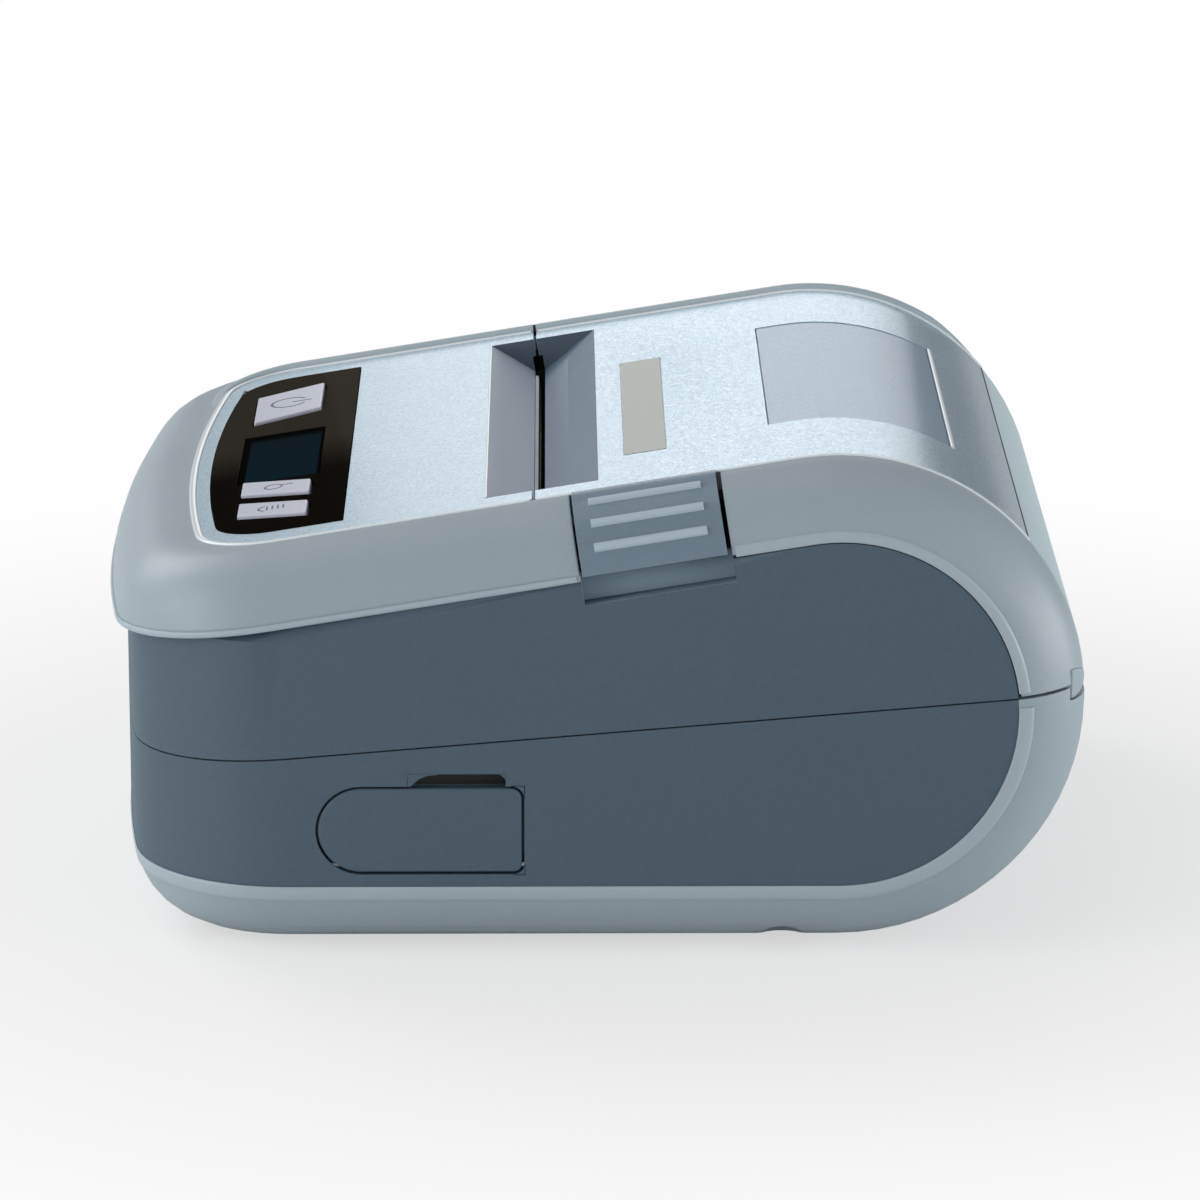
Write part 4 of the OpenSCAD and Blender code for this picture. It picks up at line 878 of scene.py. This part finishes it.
FLAP_IN, CORNER_IN, SLOT_IN, HINGE_Y, HINGE_Z = -54.4, -54.6, -55.0, -55.2, 12.0
flap_outline = (round_corner(-28.4, 16.6, 5.4, 90, 270, 40) + round_corner(-9.5, 12.2, 1.0, 270, 360)
                + round_corner(-9.8, 20.7, 1.3, 0, 90))
flap = slab("socket_flap", flap_outline, -HALF_W, FLAP_IN, "flap", slate_plastic)
bevel_edges(flap, 0.3, 30)
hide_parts("port_flap")
pin = np.column_stack([np.linspace(-33.3, -7.2, 8), np.full(8, HINGE_Y), np.full(8, HINGE_Z)])
carried("flap_pin", pin, ACROSS, [0.0, 0.0, 1.0], 0.4, 0.4, "flap", spring_steel)
INFILLS = {
    "flap_corner_top": (infill(-9.8, 20.7, 1.6, 90, 0, -8.1, 22.4), CORNER_IN),
    "flap_corner_low": (infill(-9.5, 12.2, 1.3, -90, 0, -8.1, 10.8), CORNER_IN),
    "slot_slant": ([[-22.65, 22.3], [-22.3, 22.3], [-21.2, 23.3], [-20.2, 23.7], [-18.9, 23.82],
                    [-18.9, 23.95], [-22.65, 23.95]], SLOT_IN),
    "slot_round": (infill(-11.6, 22.8, 1.1, 90, 0, -10.45, 23.95), SLOT_IN),
}
for name, (corners, y_in) in INFILLS.items():
    slab(name, corners, -HALF_W, y_in, "case", slate_plastic)
print("infills:", list(INFILLS))

# %% [markdown]
# Behind the latch the pocket's wall leans outwards towards its foot, as far as the pressed latch
# leaves room: its inner face is the round back of the button, moved down by the button's travel.

# %% Wall of the latch pocket
POCKET_HALF, LATCH_BACK, LATCH_TRAVEL = 9.41, 7.1, 3.2
w = np.linspace(19.03, 22.3, 12)
y_front = LATCH_Y - np.sqrt(LATCH_BACK ** 2 - (w - LATCH_W + LATCH_TRAVEL) ** 2) + 0.2
profile = np.concatenate([np.column_stack([y_front, w]), np.column_stack([y_front + 0.4, w])[::-1]])
wall_ends = np.array([on_top(LATCH_U + side * POCKET_HALF, *profile.T) for side in (-1, 1)])
# the pocket's wall is painted lighter too, painted light
closed_piece("pocket_wall", wall_ends, "case", pocket_painted_light)
print("pocket wall leans from y", round(float(y_front[-1]), 2), "to", round(float(y_front[0]), 2))

# %% [markdown]
# ## Fine lines and dark stops
# Where the lid's inlay ends and where the panel turns down into the groove, a bright cut edge
# catches the light, and a fine dark joint parts the silver from the crossbar. The shading alone
# would lose lines this thin, so each is a thread of an ellipse, and the two bright edges are a
# painted highlight in near-white. Two near-black stops stand in the parting gap at the far side,
# painted shade where ribs inside a real printer keep daylight from coming through.

# %% Edges, joint and stops
def line_across(name, middle, outward, half, points, wide, high, body, material):
    """A straight line across the part through a place in millimetres, on a surface that faces outward."""
    path = middle + np.linspace(-half, half, points)[:, None] * ACROSS
    carried(name, path, outward, np.cross(outward, ACROSS), wide, high, body, material)


def on_round_end(angle, lift=0.0):
    """A place on the round hinge end and the way it faces, at an angle in degrees above +X."""
    way = round_rear(angle, angle)[0]
    return REAR_CENTRE + (REAR_R + lift) * way, way


INLAY_END = CREST - math.degrees(20.6 / REAR_R) - 0.4
JOINT_ANGLE, GROOVE_FRONT = 40.1, -39.45
groove_front = on_top(GROOVE_FRONT, 0, REAR_R) / MM
# painted highlight: two near-white threads for the bright cut edges; the third line is a dark joint
line_across("inlay_edge_highlight", *on_round_end(INLAY_END, 0.02), 27, 24, 0.3, 0.12, "lid", rim_painted_highlight)
line_across("groove_edge_highlight", groove_front, SQUARE, 41.4, 8, 0.17, 0.09, "case", rim_painted_highlight)
line_across("crossbar_line", *on_round_end(JOINT_ANGLE), 45.8, 8, 0.16, 0.05, "lid", shade_and_joint_black)

# painted shade: near-black stops fill the parting gap at the far side
bead_end = on_top([-33.9, -33.15], HALF_W - BEAD_INSET, REAR_R - BEAD_SINK) / MM
carried("bead_stop", bead_end, SQUARE, ACROSS, 1.0, 0.78, "case", shade_and_joint_black)
stop_corners = on_top([-34.7, -32.3, -32.3, -34.7], 0, [24.3, 24.3, 28.2, 28.2])[:, [0, 2]] / MM
slab("parting_stop", stop_corners, 46.0, 46.6, "case", shade_and_joint_black)

# %% [markdown]
# ## Floor, light and camera
# The photograph is a cut-out on white. A pale floor takes the shadow close to the printer, and
# further out it fades to plain white, but only to the camera: the light that the floor and the sky
# throw on the printer stays soft and low. The sky is brighter to the left and in front than to the
# right and behind, as in a room with one window, which keeps the dark panels from looking flat.

# %% White floor and world
FLOOR_SIDE, FLOOR_POINTS = 6.0, 13
grid_side = np.linspace(-FLOOR_SIDE / 2, FLOOR_SIDE / 2, FLOOR_POINTS)
floor_x, floor_y = np.meshgrid(grid_side, grid_side)
floor_points = np.stack([floor_x.ravel(), floor_y.ravel(), np.full(floor_x.size, -0.0002)], axis=1)
floor_mesh = bpy.data.meshes.new("floor")
floor_mesh.from_pydata(floor_points.tolist(), [], grid_faces(FLOOR_POINTS, FLOOR_POINTS))
in_scene("floor", floor_mesh)

pale_floor, tree, shader = start_material("pale_floor")
place = object_place(tree)
colour = mixed(tree, noise(tree, place, 3.0), (0.88, 0.88, 0.88, 1), (0.92, 0.92, 0.92, 1))
feed(tree, shader, {"Base Color": colour, "Roughness": 0.9})
distance = node(tree, "VectorMath", {0: place}, operation="LENGTH").outputs["Value"]
away = remap(tree, distance, 0.06, 0.21, 0.6, 1.0, interpolation_type="SMOOTHSTEP")
camera_ray = node(tree, "LightPath").outputs["Is Camera Ray"]
white = node(tree, "Emission", {"Color": (1, 1, 1, 1), "Strength": 1.0}).outputs["Emission"]
fading = node(tree, "MixShader", {
    0: maths(tree, "MULTIPLY", away, camera_ray), 1: shader.outputs["BSDF"], 2: white})
feed(tree, tree.nodes["Material Output"], {"Surface": fading.outputs["Shader"]})
floor_mesh.materials.append(pale_floor)

SKY, SKY_LEFT, SKY_BACK = 0.3, 0.2, -0.15
world = bpy.data.worlds.new("studio")
bpy.context.scene.world = world
world.use_nodes = True
tree = world.node_tree
toward = node(tree, "TexCoord").outputs["Generated"]
slant = node(tree, "VectorMath", {0: toward, 1: (-SKY_LEFT, SKY_BACK, 0.0)}, operation="DOT_PRODUCT")
sky_light = maths(tree, "ADD", slant.outputs["Value"], SKY)
camera_ray = node(tree, "LightPath").outputs["Is Camera Ray"]
feed(tree, tree.nodes["Background"], {
    "Color": (1, 1, 1, 1), "Strength": maths(tree, "MAXIMUM", camera_ray, sky_light)})
print("floor spans", FLOOR_SIDE, "m, sky lights at", SKY)

# %% [markdown]
# Six soft lamps do the modelling. They stay weak enough that the silver renders about as bright as
# its colour is written. The top is a mirror at this low angle, so a small card behind the printer is
# what brightens it. Two lamps near the floor, the right one broad and low, draw the bright edges
# on the round nose and along the hinge end.

# %% Soft lamps
def soft_lamp(name, place, size, power, broad=None):
    """An area lamp that looks at the printer, its size in metres and power in watts, square or broad."""
    light = bpy.data.lights.new(name, "AREA")
    light.shape = "RECTANGLE"
    light.size, light.size_y = broad or size, size
    light.energy = power
    lamp = in_scene(name, light)
    lamp.location = place
    lamp.rotation_euler = (Vector((0, 0, 0.04)) - Vector(place)).to_track_quat("-Z", "Y").to_euler()
    print(name, "gives", power, "W")


soft_lamp("overhead_lamp", (-0.15, 0.25, 1.3), 1.0, 1.5)
soft_lamp("left_lamp", (-1.2, -0.35, 0.6), 0.8, 5.4)
soft_lamp("back_lamp", (-0.9, 1.0, 0.9), 0.8, 7.0)
soft_lamp("card_lamp", (0.07, 1.3, 0.42), 0.5, 1.3)
soft_lamp("low_left_lamp", (-1.3, -0.9, 0.15), 0.5, 3.3)
soft_lamp("low_right_lamp", (1.3, -0.2, 0.12), 0.5, 15.0, broad=1.5)

# %% [markdown]
# The camera stands where the photographer stood: far back with a long lens, a little above the
# printer. Its place was worked out from the outline's edges and the hinge arc in the photograph.

# %% Camera
camera_data = bpy.data.cameras.new("photo_camera")
camera_data.sensor_width = 36.0
camera_data.lens = 193.9
camera_data.clip_start, camera_data.clip_end = 0.01, 20.0
camera = in_scene("photo_camera", camera_data)
camera.location = (-0.00469, -0.82046, 0.25722)
camera.rotation_euler = (math.radians(90 - 15.43), 0.0, -0.007669)
bpy.context.scene.camera = camera
bpy.context.scene.view_settings.view_transform = "Standard"
print("lens", camera_data.lens, "mm at", [round(v, 4) for v in camera.location])
